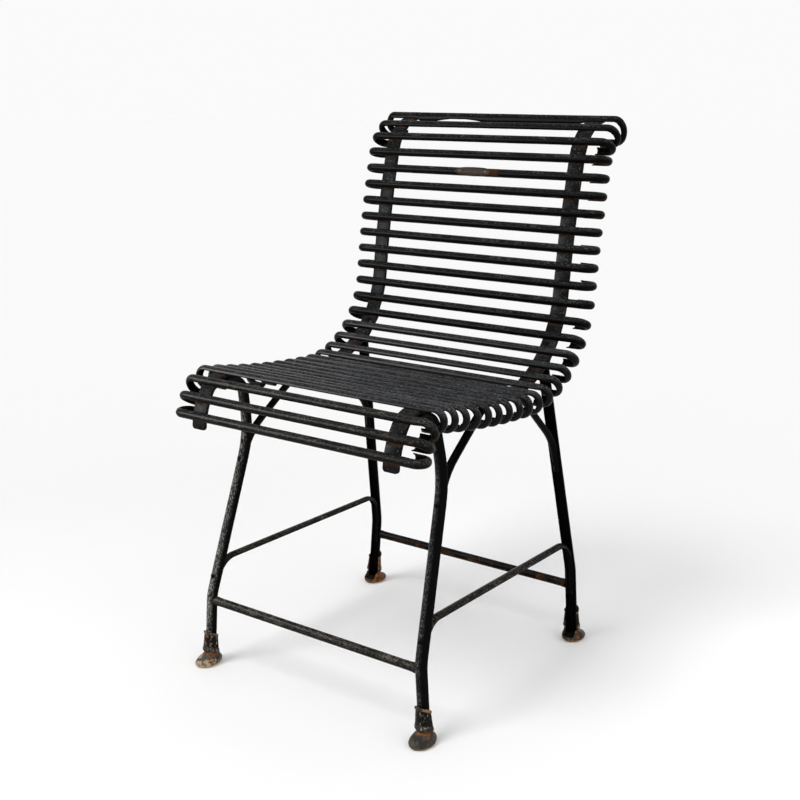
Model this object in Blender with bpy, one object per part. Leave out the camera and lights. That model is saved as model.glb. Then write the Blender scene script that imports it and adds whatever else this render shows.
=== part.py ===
"""Wrought-iron garden side chair, modelled at its real size in metres, +Z up, facing -Y.

Thirty-one half-round channel bars run straight across two flat straps, which start below the
seat's front edge, run back along the seat, curve up the back and roll over at the crest. Each
bar ends in a hook round the strap's outer side and is riveted to both straps. Four half-round
legs with braces carry the straps, stretchers tie the legs, and each leg stands in a cast hoof.
Left and right are as seen from the front, with left at -X.
"""

import math

import bmesh
import bpy
from mathutils import Matrix, Vector

# Fits
GAP = 0.0003                    # running gap between pieces that seat on each other
HOLE_GAP = 0.0003               # round a shank in its hole

# Slats, from the crest (1) down to the front edge (31)
SLAT_COUNT = 31
SLAT_PITCH = 0.0275             # along the straps
SLAT_WIDTH = 0.460              # over the hooks
SLAT_RADIUS = 0.0067
SLAT_WALL = 0.0018
HOOK_RADIUS = 0.0185            # outside of the bend
HOOK_END_GAP = 0.0035           # from a hook's free end to the strap's edge
LAST_SLAT_INSET = 0.0190        # from the strap's lower end to slat 31
HOOK_LEANS = {28: -6, 29: -17, 30: -5, 31: 11}   # degrees that clear the hooks round the front edge

# Straps
STRAP_WIDTH = 0.026
STRAP_THICKNESS = 0.005
STRAP_OVERHANG = 0.0535         # slat beyond each strap's centre line
STRAP_START_HEIGHT = 0.3968     # lower end, above the floor
STRAP_START_DEPTH = -0.2443
DROP_RADIUS = 0.110
DROP_LOW_ANGLE = 86.7           # headings in degrees from +Y towards +Z
DROP_TOP_ANGLE = 52.8
FRONT_EDGE_RADIUS = 0.0417
SEAT_FRONT_ANGLE = -10.6
SEAT_LENGTH = 0.2257
SEAT_REAR_ANGLE = -1.5
KNEE_RADIUS = 0.148
BACK_LOW_ANGLE = 84.1
BACK_LENGTH = 0.2066
BACK_TOP_ANGLE = 76.0
SCROLL_RADIUS = 0.0721
CREST_TAIL = 0.0100             # strap beyond slat 1
STRAP_FACET = 12.0              # most degrees between facets

# Rivets
SLAT_SHANK = 0.0020
SLAT_TAIL_RADIUS = 0.0036
SLAT_TAIL_HEIGHT = 0.0016
STUD_SHANK = 0.0025
STUD_HEAD_RADIUS = 0.0042
STUD_HEAD_HEIGHT = 0.0020
RIVET_SHANK = 0.0020
RIVET_HEAD_RADIUS = 0.0036
RIVET_HEAD_HEIGHT = 0.0020
RIVET_TAIL_RADIUS = 0.0026      # in a bar's hollow
RIVET_DOME = 0.6                # top of a head over its foot

# Legs
LEG_RADIUS = 0.0098
LEG_WALL = 0.0020
LEG_SPLAY = 3.9                 # degrees outwards
FRONT_FOOT_DEPTH = -0.2025
REAR_FOOT_DEPTH = 0.2155
FRONT_KNEE_HEIGHT = 0.116
REAR_KNEE_HEIGHT = 0.121
KNEE_BEND = 0.080
FRONT_FORK_HEIGHT = 0.365       # a front leg bows forwards again above its brace
FRONT_TOP_LEAN = 101.3
FRONT_FORK_BEND = 0.150
FRONT_TOP_BEND = 0.035
REAR_TOP_BEND = 0.022
FRONT_LEG_STATION = 27.5        # studs pass between two slats
REAR_LEG_STATION = 14.5
FRONT_LEG_RUN = 0.0303          # from a leg's upper corner to its stud
REAR_LEG_RUN = 0.0330
FRONT_LEG_LAND = 0.008          # leg beyond its stud
REAR_LEG_LAND = 0.012

# Braces and stretchers
BAR_RADIUS = 0.0068
BAR_WALL = 0.0018
FRONT_BRACE_ANGLE = 36.0
REAR_BRACE_ANGLE = 136.0
FRONT_BRACE_STATION = 20.5
REAR_BRACE_STATION = 19.5
BRACE_CORNER_RUN = 0.034        # from a brace's stud to its upper corner
BRACE_FORK_BEND = 0.100
BRACE_TOP_BEND = 0.030
BRACE_LAND = 0.010
BRACE_TAIL = 0.020              # brace below its fork bend
BRACE_RIVET_DROP = 0.007
SIDE_STRETCHER_HEIGHT = 0.169
SIDE_STRETCHER_BEND = 0.030
SIDE_STRETCHER_FRONT_END = 0.133
SIDE_STRETCHER_REAR_END = 0.078
FRONT_STRETCHER_RIVET = 0.146
REAR_STRETCHER_RIVET = 0.103
FRONT_STRETCHER_HEIGHT = 0.108
REAR_STRETCHER_HEIGHT = 0.0935
CROSS_RADIUS = 0.0072
REAR_STRETCHER_SHIFT = 0.0060   # its open plane, behind the rear legs'
TENON_RADIUS = 0.0018
TENON_DEPTH = 0.0024
TENON_INSET = 0.0034            # tenon centre in from the open plane
END_BLOCK = 0.006               # solid end of a cross stretcher
END_TAPER = 0.008               # from the solid end to the hollow
END_SWELL = 1.12                # a cross stretcher's end over its middle
END_HOLLOW = 0.1                # depth of the hollow in its solid end, as a share

# Hooves
SOCKET_FLOOR = 0.009            # the leg stands here
HOOF_HALF_WIDTH = 0.0178
HOOF_HALF_LENGTH = 0.0238
HOOF_SHIFT = 0.0075             # hoof forward of its leg
ANKLE_RADIUS = 0.0120
ANKLE_HEIGHT = 0.0190
BEAD_RADIUS = 0.0148
BEAD_HEIGHT = 0.0235
BEAD_HALF = 0.0045              # from the bead's middle to its edge
NECK_RADIUS = 0.0136
CUFF_RADIUS = 0.0114
CUFF_SHIFT = 0.0012             # cuff forward of its leg, towards the toe
CUFF_HEIGHT = 0.0500
CUFF_RIM = 0.0012               # rim over the cuff
CUFF_RIM_HEIGHT = 0.0040
CUFF_LIP = 0.0010               # cuff past the leg's open plane
CUFF_RISE = 0.0070              # apex of the cuff over its sides
HOOF_SIDES = 16
CUTTER_REACH = 0.060            # past everything that a cutter opens

# Oval plate
PLATE_SLAT = 5
PLATE_SHIFT = -0.004
PLATE_HALF_LENGTH = 0.0345
PLATE_THICKNESS = 0.0010
PLATE_HALF_ANGLE = 70.0
PLATE_RIVET_SPREAD = 0.0245
PLATE_RIVET_SHANK = 0.0010
PLATE_RIVET_HEAD = 0.0022
PLATE_RIVET_HEIGHT = 0.0009

# Facets round each hook, and round the outside and the hollow of each kind of channel
HOOK_STEPS = 4
SLAT_STEPS = 4, 2
LEG_STEPS = 6, 6
BAR_STEPS = 6, 4

STRAP_CENTRE = SLAT_WIDTH / 2 - STRAP_OVERHANG
SIDES = {"left": -1, "right": 1}


def direction(angle):
    return Vector((math.cos(math.radians(angle)), math.sin(math.radians(angle))))


def left_of(angle):
    return direction(angle + 90)


# The strap's line: its sitter's side, seen along X, as stations (depth, height, heading)


def strap_runs():
    """Lengths and headings of the strap's straight and curved runs, from its lower end."""
    def bend(radius, start, end):
        return radius * math.radians(abs(end - start)), start, end

    reach = LAST_SLAT_INSET + SLAT_PITCH * (SLAT_COUNT - 1)
    runs = [bend(DROP_RADIUS, DROP_LOW_ANGLE, DROP_TOP_ANGLE),
            bend(FRONT_EDGE_RADIUS, DROP_TOP_ANGLE, SEAT_FRONT_ANGLE),
            (SEAT_LENGTH, SEAT_FRONT_ANGLE, SEAT_REAR_ANGLE),
            bend(KNEE_RADIUS, SEAT_REAR_ANGLE, BACK_LOW_ANGLE),
            (BACK_LENGTH, BACK_LOW_ANGLE, BACK_TOP_ANGLE)]
    rest = reach - sum(run[0] for run in runs)
    runs.append((rest, BACK_TOP_ANGLE, BACK_TOP_ANGLE - math.degrees(rest / SCROLL_RADIUS)))
    return runs


def strap_station(distance):
    """Point and heading on the strap's upper face, that far from its lower end."""
    point = Vector((STRAP_START_DEPTH, STRAP_START_HEIGHT))
    for length, start, end in strap_runs():
        step = min(distance, length)
        turn = math.radians(end - start) / length
        if abs(turn) < 1e-6:
            heading = start
            point = point + direction(start) * step
        else:
            heading = start + math.degrees(turn) * step
            point = point + (left_of(start) - left_of(heading)) / turn
        if distance <= length:
            break
        distance -= length
    return point, heading


def slat_station(number):
    """Station under a slat, or between two for a half number."""
    return strap_station(LAST_SLAT_INSET + SLAT_PITCH * (SLAT_COUNT - number))


def strap_facets():
    """Stations whose tangents make the strap, each slat's and each mid-gap's among them."""
    facets = [strap_station(0), slat_station(SLAT_COUNT)]
    for i in range(2 * (SLAT_COUNT - 1)):
        here = SLAT_COUNT - i / 2
        turn = abs(slat_station(here - 0.5)[1] - slat_station(here)[1])
        steps = max(1, math.ceil(turn / STRAP_FACET))
        facets += [slat_station(here - 0.5 * (k + 1) / steps) for k in range(steps)]
    return facets


def strap_corners():
    """Corners of the strap's facets as (point, outward offset for a unit of thickness)."""
    facets = strap_facets()
    start, heading = strap_station(0)
    corners = [(start, left_of(heading))]
    for (point, heading), (other, other_heading) in zip(facets, facets[1:]):
        turn = other_heading - heading
        if abs(turn) > 0.1:
            out = left_of(heading + turn / 2) / math.cos(math.radians(turn / 2))
            corners.append((crossing(point, heading, other, other_heading), out))
    point, heading = facets[-1]
    return corners + [(point + direction(heading) * CREST_TAIL, left_of(heading))]


def depth_centre():
    """Middle of the chair from the lowest slat's crown to the ends of the crest slat's hooks."""
    front, heading = slat_station(SLAT_COUNT)
    foremost = front + left_of(heading) * (GAP + SLAT_RADIUS)
    back, heading = slat_station(1)
    under = 2 * (HOOK_RADIUS - SLAT_RADIUS) - GAP
    rearmost = back + direction(heading) * SLAT_RADIUS - left_of(heading) * under
    return (foremost.x + rearmost.x) / 2


# Mesh helpers


def new_mesh(name, points, faces):
    """Closed mesh from points and faces, turned to face outwards."""
    mesh = bpy.data.meshes.new(name)
    mesh.from_pydata([tuple(p) for p in points], [], faces)
    form = bmesh.new()
    form.from_mesh(mesh)
    bmesh.ops.recalc_face_normals(form, faces=form.faces)
    bmesh.ops.triangulate(form, faces=[f for f in form.faces if len(f.verts) > 4])
    form.to_mesh(mesh)
    form.free()
    return mesh


def loft(name, rings):
    """Closed mesh through rings that have as many points each."""
    count = len(rings[0])
    points = [p for ring in rings for p in ring]
    faces = []
    for r in range(len(rings) - 1):
        a, b = r * count, (r + 1) * count
        for i in range(count):
            j = (i + 1) % count
            faces.append((a + i, a + j, b + j, b + i))
    faces.append(tuple(reversed(range(count))))
    faces.append(tuple(range((len(rings) - 1) * count, len(rings) * count)))
    return new_mesh(name, points, faces)


def turned(name, outline, sides):
    """Mesh turned about Z from (radius, height) pairs."""
    rings = []
    for radius, height in outline:
        rings.append([Vector((radius * math.cos(2 * math.pi * (i + 0.5) / sides),
                              radius * math.sin(2 * math.pi * (i + 0.5) / sides), height))
                      for i in range(sides)])
    return loft(name, rings)


def channel(radius, wall, steps, depth=1):
    """Half-round section, open at its flat side, as (across, outwards) pairs.

    A depth under 1 makes its hollow shallower.
    """
    def arc(r, count, start, end):
        return [(r * math.cos(start + (end - start) * i / count),
                 r * math.sin(start + (end - start) * i / count)) for i in range(count + 1)]

    hollow = [(u, v * depth) for u, v in arc(radius - wall, steps[1], math.pi, 0)]
    return arc(radius, steps[0], 0, math.pi) + hollow


def hollow_radius(radius, wall, steps):
    """Radius that clears the facets of a channel's hollow."""
    return (radius - wall) * math.cos(math.pi / 2 / steps[1])


def tail_seat(radius, wall, steps, head):
    """Height in a channel's hollow at which a flat head clears its walls."""
    return math.sqrt(max(0.0, hollow_radius(radius, wall, steps) ** 2 - head ** 2)) - GAP


def filleted(corners, radii, step=16.0):
    """Path through corners with rounded bends, as (point, heading) pairs."""
    path = [(corners[0], heading_of(corners[0], corners[1]))]
    for i in range(1, len(corners) - 1):
        before = heading_of(corners[i - 1], corners[i])
        after = heading_of(corners[i], corners[i + 1])
        turn = (after - before + 180) % 360 - 180
        start = corners[i] - direction(before) * radii[i - 1] * math.tan(math.radians(abs(turn) / 2))
        side = math.copysign(1, turn)
        centre = start + left_of(before) * radii[i - 1] * side
        steps = max(2, math.ceil(abs(turn) / step))
        for k in range(steps + 1):
            heading = before + turn * k / steps
            path.append((centre - left_of(heading) * radii[i - 1] * side, heading))
    path.append((corners[-1], heading_of(corners[-2], corners[-1])))
    return path


def heading_of(start, end):
    return math.degrees(math.atan2(end.y - start.y, end.x - start.x))


def crossing(point, heading, other, other_heading):
    """Where two lines in the side view meet."""
    a, b = direction(heading), direction(other_heading)
    t = (other - point).cross(b) / a.cross(b)
    return point + a * t


def splayed(side, depth, height, across=0.0):
    """Point of a leg's plane, which leans outwards as it goes down."""
    level = slat_station(FRONT_LEG_STATION)[0].y
    x = STRAP_CENTRE + (level - height) * math.tan(math.radians(LEG_SPLAY))
    return Vector((side * x + across, depth, height))


def swept_bar(name, side, path, bulge, section):
    """Bar in a leg's plane, with its round side on the left (1) or right (-1) of its path."""
    rings = []
    for point, heading in path:
        out = left_of(heading) * bulge
        rings.append([splayed(side, point.x + out.x * v, point.y + out.y * v, u) for u, v in section])
    return loft(name, rings)


# Objects


def plain_material(name, colour, roughness, metallic):
    material = bpy.data.materials.new(name)
    material.use_nodes = True
    shader = material.node_tree.nodes["Principled BSDF"]
    shader.inputs["Base Color"].default_value = (*colour, 1)
    shader.inputs["Roughness"].default_value = roughness
    shader.inputs["Metallic"].default_value = metallic
    material.diffuse_color = (*colour, 1)
    return material


def add_object(name, mesh, material):
    """Named object on the chair's empty, shaded smooth up to its sharp edges."""
    piece = bpy.data.objects.new(name, mesh)
    bpy.context.scene.collection.objects.link(piece)
    if not mesh.materials:
        mesh.materials.append(material)
        mesh.shade_smooth()
        mesh.set_sharp_from_angle(angle=math.radians(35))
    return piece


def combine(mesh, tools, operation):
    """Copy of a mesh with (mesh, matrix) tools cut from it or joined to it."""
    piece = bpy.data.objects.new("work", mesh)
    bpy.context.scene.collection.objects.link(piece)
    made = [piece]
    for tool_mesh, place in tools:
        tool = bpy.data.objects.new("tool", tool_mesh)
        tool.matrix_world = place
        bpy.context.scene.collection.objects.link(tool)
        made.append(tool)
        change = piece.modifiers.new("change", "BOOLEAN")
        change.operation = operation
        change.solver = "EXACT"
        change.object = tool
    graph = bpy.context.evaluated_depsgraph_get()
    result = bpy.data.meshes.new_from_object(piece.evaluated_get(graph))
    for item in made:
        bpy.data.objects.remove(item)
    result.name = mesh.name
    return result


def facing(point, normal):
    """Placement whose Z follows a normal in a leg's plane and whose X stays across."""
    z = Vector((0, normal.x, normal.y)).normalized()
    x = Vector((1, 0, 0))
    y = z.cross(x)
    turn = Matrix((x, y, z)).transposed().to_4x4()
    return Matrix.Translation(point) @ turn


def on_strap(station, x):
    """Placement on the strap's upper face, Z towards the sitter."""
    point, heading = station
    return facing(Vector((x, point.x, point.y)), left_of(heading))


# Slats


def slat_mesh(lean):
    """One bar with both hooks and the shanks of its two rivets, Z away from the straps.

    A lean turns the hooks about the bar, up the straps.
    """
    bend = HOOK_RADIUS - SLAT_RADIUS
    reach = SLAT_WIDTH / 2 - HOOK_RADIUS
    end = STRAP_CENTRE + STRAP_WIDTH / 2 + HOOK_END_GAP
    half = [(Vector((end, -2 * bend)), Vector((0, -1)), lean)]
    for i in range(HOOK_STEPS + 1):
        angle = math.pi * (i / HOOK_STEPS - 0.5)
        out = Vector((math.cos(angle), math.sin(angle)))
        half.append((Vector((reach, -bend)) + out * bend, out, lean))
    if lean:
        half.append((Vector((end - HOOK_END_GAP, 0)), Vector((0, 1)), 0))
    path = half + [(Vector((-p.x, p.y)), Vector((-o.x, o.y)), turn) for p, o, turn in reversed(half)]
    section = channel(SLAT_RADIUS, SLAT_WALL, SLAT_STEPS)
    rings = []
    for p, o, turn in path:
        tilt = Matrix.Rotation(math.radians(turn), 3, "X")
        rings.append([tilt @ Vector((p.x + o.x * v, u, p.y + o.y * v)) for u, v in section])
    bar = loft("slat", rings)
    under = -(2 * GAP + STRAP_THICKNESS)
    shank = turned("slat_rivet", [(SLAT_TAIL_RADIUS * RIVET_DOME, under - SLAT_TAIL_HEIGHT),
                                  (SLAT_TAIL_RADIUS, under),
                                  (SLAT_SHANK, under),
                                  (SLAT_SHANK, SLAT_RADIUS - SLAT_WALL / 2)], 6)
    places = [Matrix.Translation((side * STRAP_CENTRE, 0, 0)) for side in SIDES.values()]
    return combine(bar, [(shank, place) for place in places], "UNION")


def slat_place(number):
    """Placement of a slat: its open side one gap off the straps."""
    return on_strap(slat_station(number), 0.0) @ Matrix.Translation((0, 0, GAP))


def plate_rivet_places():
    slat = slat_place(PLATE_SLAT)
    return {name: slat @ Matrix.Translation((PLATE_SHIFT + side * PLATE_RIVET_SPREAD, 0, 0))
            for name, side in SIDES.items()}


def add_slats(paint):
    meshes = {lean: slat_mesh(lean) for lean in {0, *HOOK_LEANS.values()}}
    drill = turned("plate_hole", [(PLATE_RIVET_SHANK + HOLE_GAP, 0),
                                  (PLATE_RIVET_SHANK + HOLE_GAP, 2 * SLAT_RADIUS)], 6)
    holes = [(drill, Matrix.Translation((PLATE_SHIFT + side * PLATE_RIVET_SPREAD, 0, 0)))
             for side in SIDES.values()]
    drilled = combine(meshes[0], holes, "DIFFERENCE")
    for number in range(1, SLAT_COUNT + 1):
        mesh = drilled if number == PLATE_SLAT else meshes[HOOK_LEANS.get(number, 0)]
        slat = add_object(f"slat_{number:02d}", mesh, paint)
        slat.matrix_world = slat_place(number)


# Straps


def stud_stations():
    return [FRONT_LEG_STATION, REAR_LEG_STATION, FRONT_BRACE_STATION, REAR_BRACE_STATION]


def strap_mesh(side):
    """Flat bar along the strap's line, drilled for its rivets."""
    half = STRAP_WIDTH / 2
    outline = [(-half, 0), (half, 0), (half, -STRAP_THICKNESS), (-half, -STRAP_THICKNESS)]
    rings = []
    for corner, out in strap_corners():
        rings.append([Vector((side * STRAP_CENTRE + u, corner.x + out.x * v, corner.y + out.y * v))
                      for u, v in outline])
    bar = loft("strap", rings)
    depth = 2 * STRAP_THICKNESS
    small = turned("slat_hole", [(SLAT_SHANK + HOLE_GAP, -depth), (SLAT_SHANK + HOLE_GAP, depth)], 6)
    large = turned("stud_hole", [(STUD_SHANK + HOLE_GAP, -depth), (STUD_SHANK + HOLE_GAP, depth)], 8)
    x = side * STRAP_CENTRE
    holes = [(small, on_strap(slat_station(n), x)) for n in range(1, SLAT_COUNT + 1)]
    for station in stud_stations():
        holes.append((large, on_strap(slat_station(station), stud_x(side, station))))
    return combine(bar, holes, "DIFFERENCE")


def stud_x(side, station):
    """Where a leg's or brace's centre line meets the strap."""
    point = slat_station(station)[0]
    return splayed(side, point.x, point.y).x


def with_stud(mesh, side, station, crown):
    """Bar joined to its stud, from inside its crown through the strap to a head on top."""
    stud = turned("stud", [(STUD_SHANK, -(STRAP_THICKNESS + GAP + crown)),
                           (STUD_SHANK, GAP),
                           (STUD_HEAD_RADIUS, GAP),
                           (STUD_HEAD_RADIUS * RIVET_DOME, GAP + STUD_HEAD_HEIGHT)], 8)
    place = on_strap(slat_station(station), stud_x(side, station))
    return combine(mesh, [(stud, place)], "UNION")


# Legs, braces and side stretchers share lines in the side view


def land_line(station):
    """Point one gap behind the strap at a stud, with the strap's heading."""
    point, heading = slat_station(station)
    return point - left_of(heading) * (STRAP_THICKNESS + GAP), heading


def leg_line(front, inset=0.0):
    """A leg's foot, its knee and its heading above it, moved into its round side by an inset."""
    depth, height = ((FRONT_FOOT_DEPTH, FRONT_KNEE_HEIGHT) if front
                     else (REAR_FOOT_DEPTH, REAR_KNEE_HEIGHT))
    bulge = 1 if front else -1
    lean = heading_of(Vector((depth, height)), leg_corners(front)[0])
    foot = Vector((depth - bulge * inset, SOCKET_FLOOR + GAP))
    upper = Vector((depth, height)) + left_of(lean) * bulge * inset
    return foot, crossing(foot, 90, upper, lean), lean


def leg_corners(front):
    """A leg's corners above its knee, up to its end under the strap."""
    station, run, end = ((FRONT_LEG_STATION, FRONT_LEG_RUN, FRONT_LEG_LAND) if front
                         else (REAR_LEG_STATION, REAR_LEG_RUN, REAR_LEG_LAND))
    land, heading = land_line(station)
    forward = direction(heading) * (-1 if front else 1)
    corners = [land - forward * run, land + forward * end]
    if front:
        corners.insert(0, crossing(corners[0], FRONT_TOP_LEAN, Vector((0, FRONT_FORK_HEIGHT)), 0))
    return corners


def leg_point(front, height):
    """Point of a leg's open plane at a height below its brace, with the leg's heading there."""
    foot, knee, lean = leg_line(front)
    start, heading = (foot, 90) if height < knee.y else (knee, lean)
    return crossing(start, heading, Vector((0, height)), 0), heading


def across_leg(side, front, height):
    """Placement on a leg's open plane, Z out through its crown."""
    point, heading = leg_point(front, height)
    return facing(splayed(side, point.x, point.y), left_of(heading) * (1 if front else -1))


def leg_mesh(side, front):
    bends = [KNEE_BEND, FRONT_FORK_BEND, FRONT_TOP_BEND] if front else [KNEE_BEND, REAR_TOP_BEND]
    section = channel(LEG_RADIUS, LEG_WALL, LEG_STEPS)
    corners = [*leg_line(front)[:2], *leg_corners(front)]
    bar = swept_bar("leg", side, filleted(corners, bends), 1 if front else -1, section)
    station = FRONT_LEG_STATION if front else REAR_LEG_STATION
    bar = with_stud(bar, side, station, LEG_RADIUS - LEG_WALL / 2)
    drill = turned("rivet_hole", [(RIVET_SHANK + HOLE_GAP, 0),
                                  (RIVET_SHANK + HOLE_GAP, 2 * LEG_RADIUS)], 8)
    holes = [(drill, across_leg(side, front, brace_rivet_height(front))),
             (drill, across_leg(side, front, stretcher_rivet_height(front)))]
    tenon = turned("tenon_hole", [(TENON_RADIUS + HOLE_GAP, -LEG_RADIUS), (TENON_RADIUS + HOLE_GAP, 0)], 8)
    holes.append((tenon, tenon_place(side, front)))
    return combine(bar, holes, "DIFFERENCE")


def brace_corners(front):
    """A brace's corners, from its lower end in the leg's hollow to its end under the strap."""
    angle = FRONT_BRACE_ANGLE if front else REAR_BRACE_ANGLE
    station = FRONT_BRACE_STATION if front else REAR_BRACE_STATION
    _, knee, lean = leg_line(front, brace_inset())
    land, heading = land_line(station)
    forward = direction(heading) * (-1 if front else 1)
    corner = land + forward * BRACE_CORNER_RUN
    end = land - forward * BRACE_LAND
    fork = crossing(knee, lean, corner, angle)
    turn = abs(angle - lean)
    start = fork - direction(lean) * (BRACE_FORK_BEND * math.tan(math.radians(turn / 2)) + BRACE_TAIL)
    return [start, fork, corner, end]


def brace_inset():
    """How far a brace's rims reach into a leg's hollow."""
    hollow = hollow_radius(LEG_RADIUS, LEG_WALL, LEG_STEPS)
    width = BAR_RADIUS + GAP
    return math.sqrt(hollow ** 2 - width ** 2) if width < hollow else -GAP


def brace_mesh(side, front):
    path = filleted(brace_corners(front), [BRACE_FORK_BEND, BRACE_TOP_BEND], 12.0)
    bar = swept_bar("brace", side, path, -1 if front else 1, channel(BAR_RADIUS, BAR_WALL, BAR_STEPS))
    station = FRONT_BRACE_STATION if front else REAR_BRACE_STATION
    bar = with_stud(bar, side, station, BAR_RADIUS - BAR_WALL / 2)
    drill = turned("brace_hole", [(RIVET_SHANK + HOLE_GAP, -2 * BAR_RADIUS),
                                  (RIVET_SHANK + HOLE_GAP, BAR_RADIUS)], 8)
    return combine(bar, [(drill, across_leg(side, front, brace_rivet_height(front)))], "DIFFERENCE")


def brace_rivet_height(front):
    return brace_corners(front)[0].y + BRACE_TAIL - BRACE_RIVET_DROP


def stretcher_rivet_height(front):
    return FRONT_STRETCHER_RIVET if front else REAR_STRETCHER_RIVET


def nest_inset():
    """How far a bar's open plane sits in a leg's hollow when its crown or sides seat there."""
    hollow = hollow_radius(LEG_RADIUS, LEG_WALL, LEG_STEPS)
    width = BAR_RADIUS + GAP
    return -max(width - hollow, math.sqrt(max(0.0, width ** 2 - hollow ** 2)))


def side_stretcher_mesh(side):
    """Bar along the side with both ends bent down into the legs' hollows, round side out."""
    _, front_knee, front_lean = leg_line(True, nest_inset())
    _, rear_knee, rear_lean = leg_line(False, nest_inset())
    run = Vector((0, SIDE_STRETCHER_HEIGHT))
    front_top = crossing(front_knee, front_lean, run, 0)
    rear_top = crossing(rear_knee, rear_lean, run, 0)
    front_end = crossing(front_knee, front_lean, Vector((0, SIDE_STRETCHER_FRONT_END)), 0)
    rear_end = Vector((rear_knee.x, SIDE_STRETCHER_REAR_END))
    corners = [front_end, front_top, rear_top, rear_knee, rear_end]
    path = filleted(corners, [SIDE_STRETCHER_BEND, SIDE_STRETCHER_BEND, KNEE_BEND])
    bar = swept_bar("side_stretcher", side, path, 1, channel(BAR_RADIUS, BAR_WALL, BAR_STEPS))
    drill = turned("side_hole", [(RIVET_SHANK + HOLE_GAP, 0),
                                 (RIVET_SHANK + HOLE_GAP, 2 * BAR_RADIUS)], 8)
    holes = [(drill, across_leg(side, front, stretcher_rivet_height(front))) for front in (True, False)]
    return combine(bar, holes, "DIFFERENCE")


# Front and back stretchers


def cross_height(front):
    return FRONT_STRETCHER_HEIGHT if front else REAR_STRETCHER_HEIGHT


def cross_depth(front):
    """Open plane of a cross stretcher; both turn their round side to the front."""
    return FRONT_FOOT_DEPTH if front else REAR_FOOT_DEPTH + REAR_STRETCHER_SHIFT


def cross_reach(front):
    """Half length of a cross stretcher, one gap short of the legs."""
    point, _ = leg_point(front, cross_height(front))
    return splayed(1, point.x, point.y).x - LEG_RADIUS - GAP


def tenon_place(side, front):
    """Placement at a stretcher's end, Z back along the stretcher."""
    x = side * cross_reach(front)
    turn = Matrix.Rotation(-side * math.pi / 2, 4, "Y")
    return Matrix.Translation((x, cross_depth(front) - TENON_INSET, cross_height(front))) @ turn


def cross_stretcher_mesh(front):
    """Straight bar whose ends close up and widen slightly, with a tenon into each leg."""
    reach = cross_reach(front)
    hollow = reach - END_BLOCK - END_TAPER
    rings = []
    for x, swell, solid in ((-reach, END_SWELL, True), (END_BLOCK - reach, 1, True), (-hollow, 1, False),
                            (hollow, 1, False), (reach - END_BLOCK, 1, True), (reach, END_SWELL, True)):
        section = channel(CROSS_RADIUS, BAR_WALL, BAR_STEPS, END_HOLLOW if solid else 1)
        rings.append([Vector((x, cross_depth(front) - v * swell, cross_height(front) + u * swell))
                      for u, v in section])
    bar = loft("cross_stretcher", rings)
    tenon = turned("tenon", [(TENON_RADIUS, -TENON_DEPTH), (TENON_RADIUS, END_BLOCK / 2)], 8)
    return combine(bar, [(tenon, tenon_place(side, front)) for side in SIDES.values()], "UNION")


# Hooves


def hoof_sections():
    """Height, half width, half length and shift to the toe, from the sole to the cuff."""
    swells = [(0.00, 0.50, 0.730, 1.00), (0.12, 0.88, 0.945, 1.00), (0.33, 1.00, 1.000, 0.91),
              (0.53, 0.72, 0.745, 0.62), (0.73, 0.28, 0.310, 0.25), (0.92, 0.00, 0.000, 0.04)]
    hoof = [(rise * ANKLE_HEIGHT, ANKLE_RADIUS + wide * (HOOF_HALF_WIDTH - ANKLE_RADIUS),
             ANKLE_RADIUS + long * (HOOF_HALF_LENGTH - ANKLE_RADIUS), shift * HOOF_SHIFT)
            for rise, wide, long, shift in swells]
    bead = [(BEAD_HEIGHT - BEAD_HALF, ANKLE_RADIUS), (BEAD_HEIGHT - BEAD_HALF / 3, BEAD_RADIUS),
            (BEAD_HEIGHT + BEAD_HALF / 3, BEAD_RADIUS), (BEAD_HEIGHT + BEAD_HALF, NECK_RADIUS)]
    cuff = [(CUFF_HEIGHT - CUFF_RIM_HEIGHT, CUFF_RADIUS),
            (CUFF_HEIGHT - CUFF_RIM_HEIGHT / 2, CUFF_RADIUS + CUFF_RIM),
            (CUFF_HEIGHT, CUFF_RADIUS + CUFF_RIM)]
    return (hoof + [(height, radius, radius, 0.0) for height, radius in bead]
            + [(height, radius, radius, CUFF_SHIFT) for height, radius in cuff])


def hoof_mesh(side, front):
    """Cast hoof whose cuff wraps the leg's round side, open towards the chair's middle."""
    toe = -1 if front else 1
    depth = FRONT_FOOT_DEPTH if front else REAR_FOOT_DEPTH
    top = hoof_sections()[-1][0]
    rings = []
    for height, wide, long, shift in hoof_sections():
        ring = []
        for i in range(HOOF_SIDES):
            angle = 2 * math.pi * i / HOOF_SIDES
            u, v = math.sin(angle), math.cos(angle)
            lift = CUFF_RISE * max(0.0, v) * max(0.0, height - ANKLE_HEIGHT) / (top - ANKLE_HEIGHT)
            ring.append(splayed(side, depth + toe * (shift + long * v), height + lift, wide * u))
        rings.append(ring)
    body = loft("hoof", rings)
    fit = LEG_RADIUS + GAP
    far = CUTTER_REACH
    slot = [(fit, -far), (fit, 0)]
    slot += [(fit * math.cos(math.pi * i / 8), fit * math.sin(math.pi * i / 8)) for i in range(1, 8)]
    slot += [(-fit, 0), (-fit, -far)]
    socket = loft("socket", [[splayed(side, depth + toe * v, z, u) for u, v in slot]
                             for z in (SOCKET_FLOOR, far + top)])
    inner = [(far, -far), (far, -CUFF_LIP), (-far, -CUFF_LIP), (-far, -far)]
    relief = loft("relief", [[splayed(side, depth + toe * v, z, u) for u, v in inner]
                             for z in (ANKLE_HEIGHT, far + top)])
    place = Matrix.Identity(4)
    return combine(body, [(socket, place), (relief, place)], "DIFFERENCE")


# Plate and loose rivets


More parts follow.
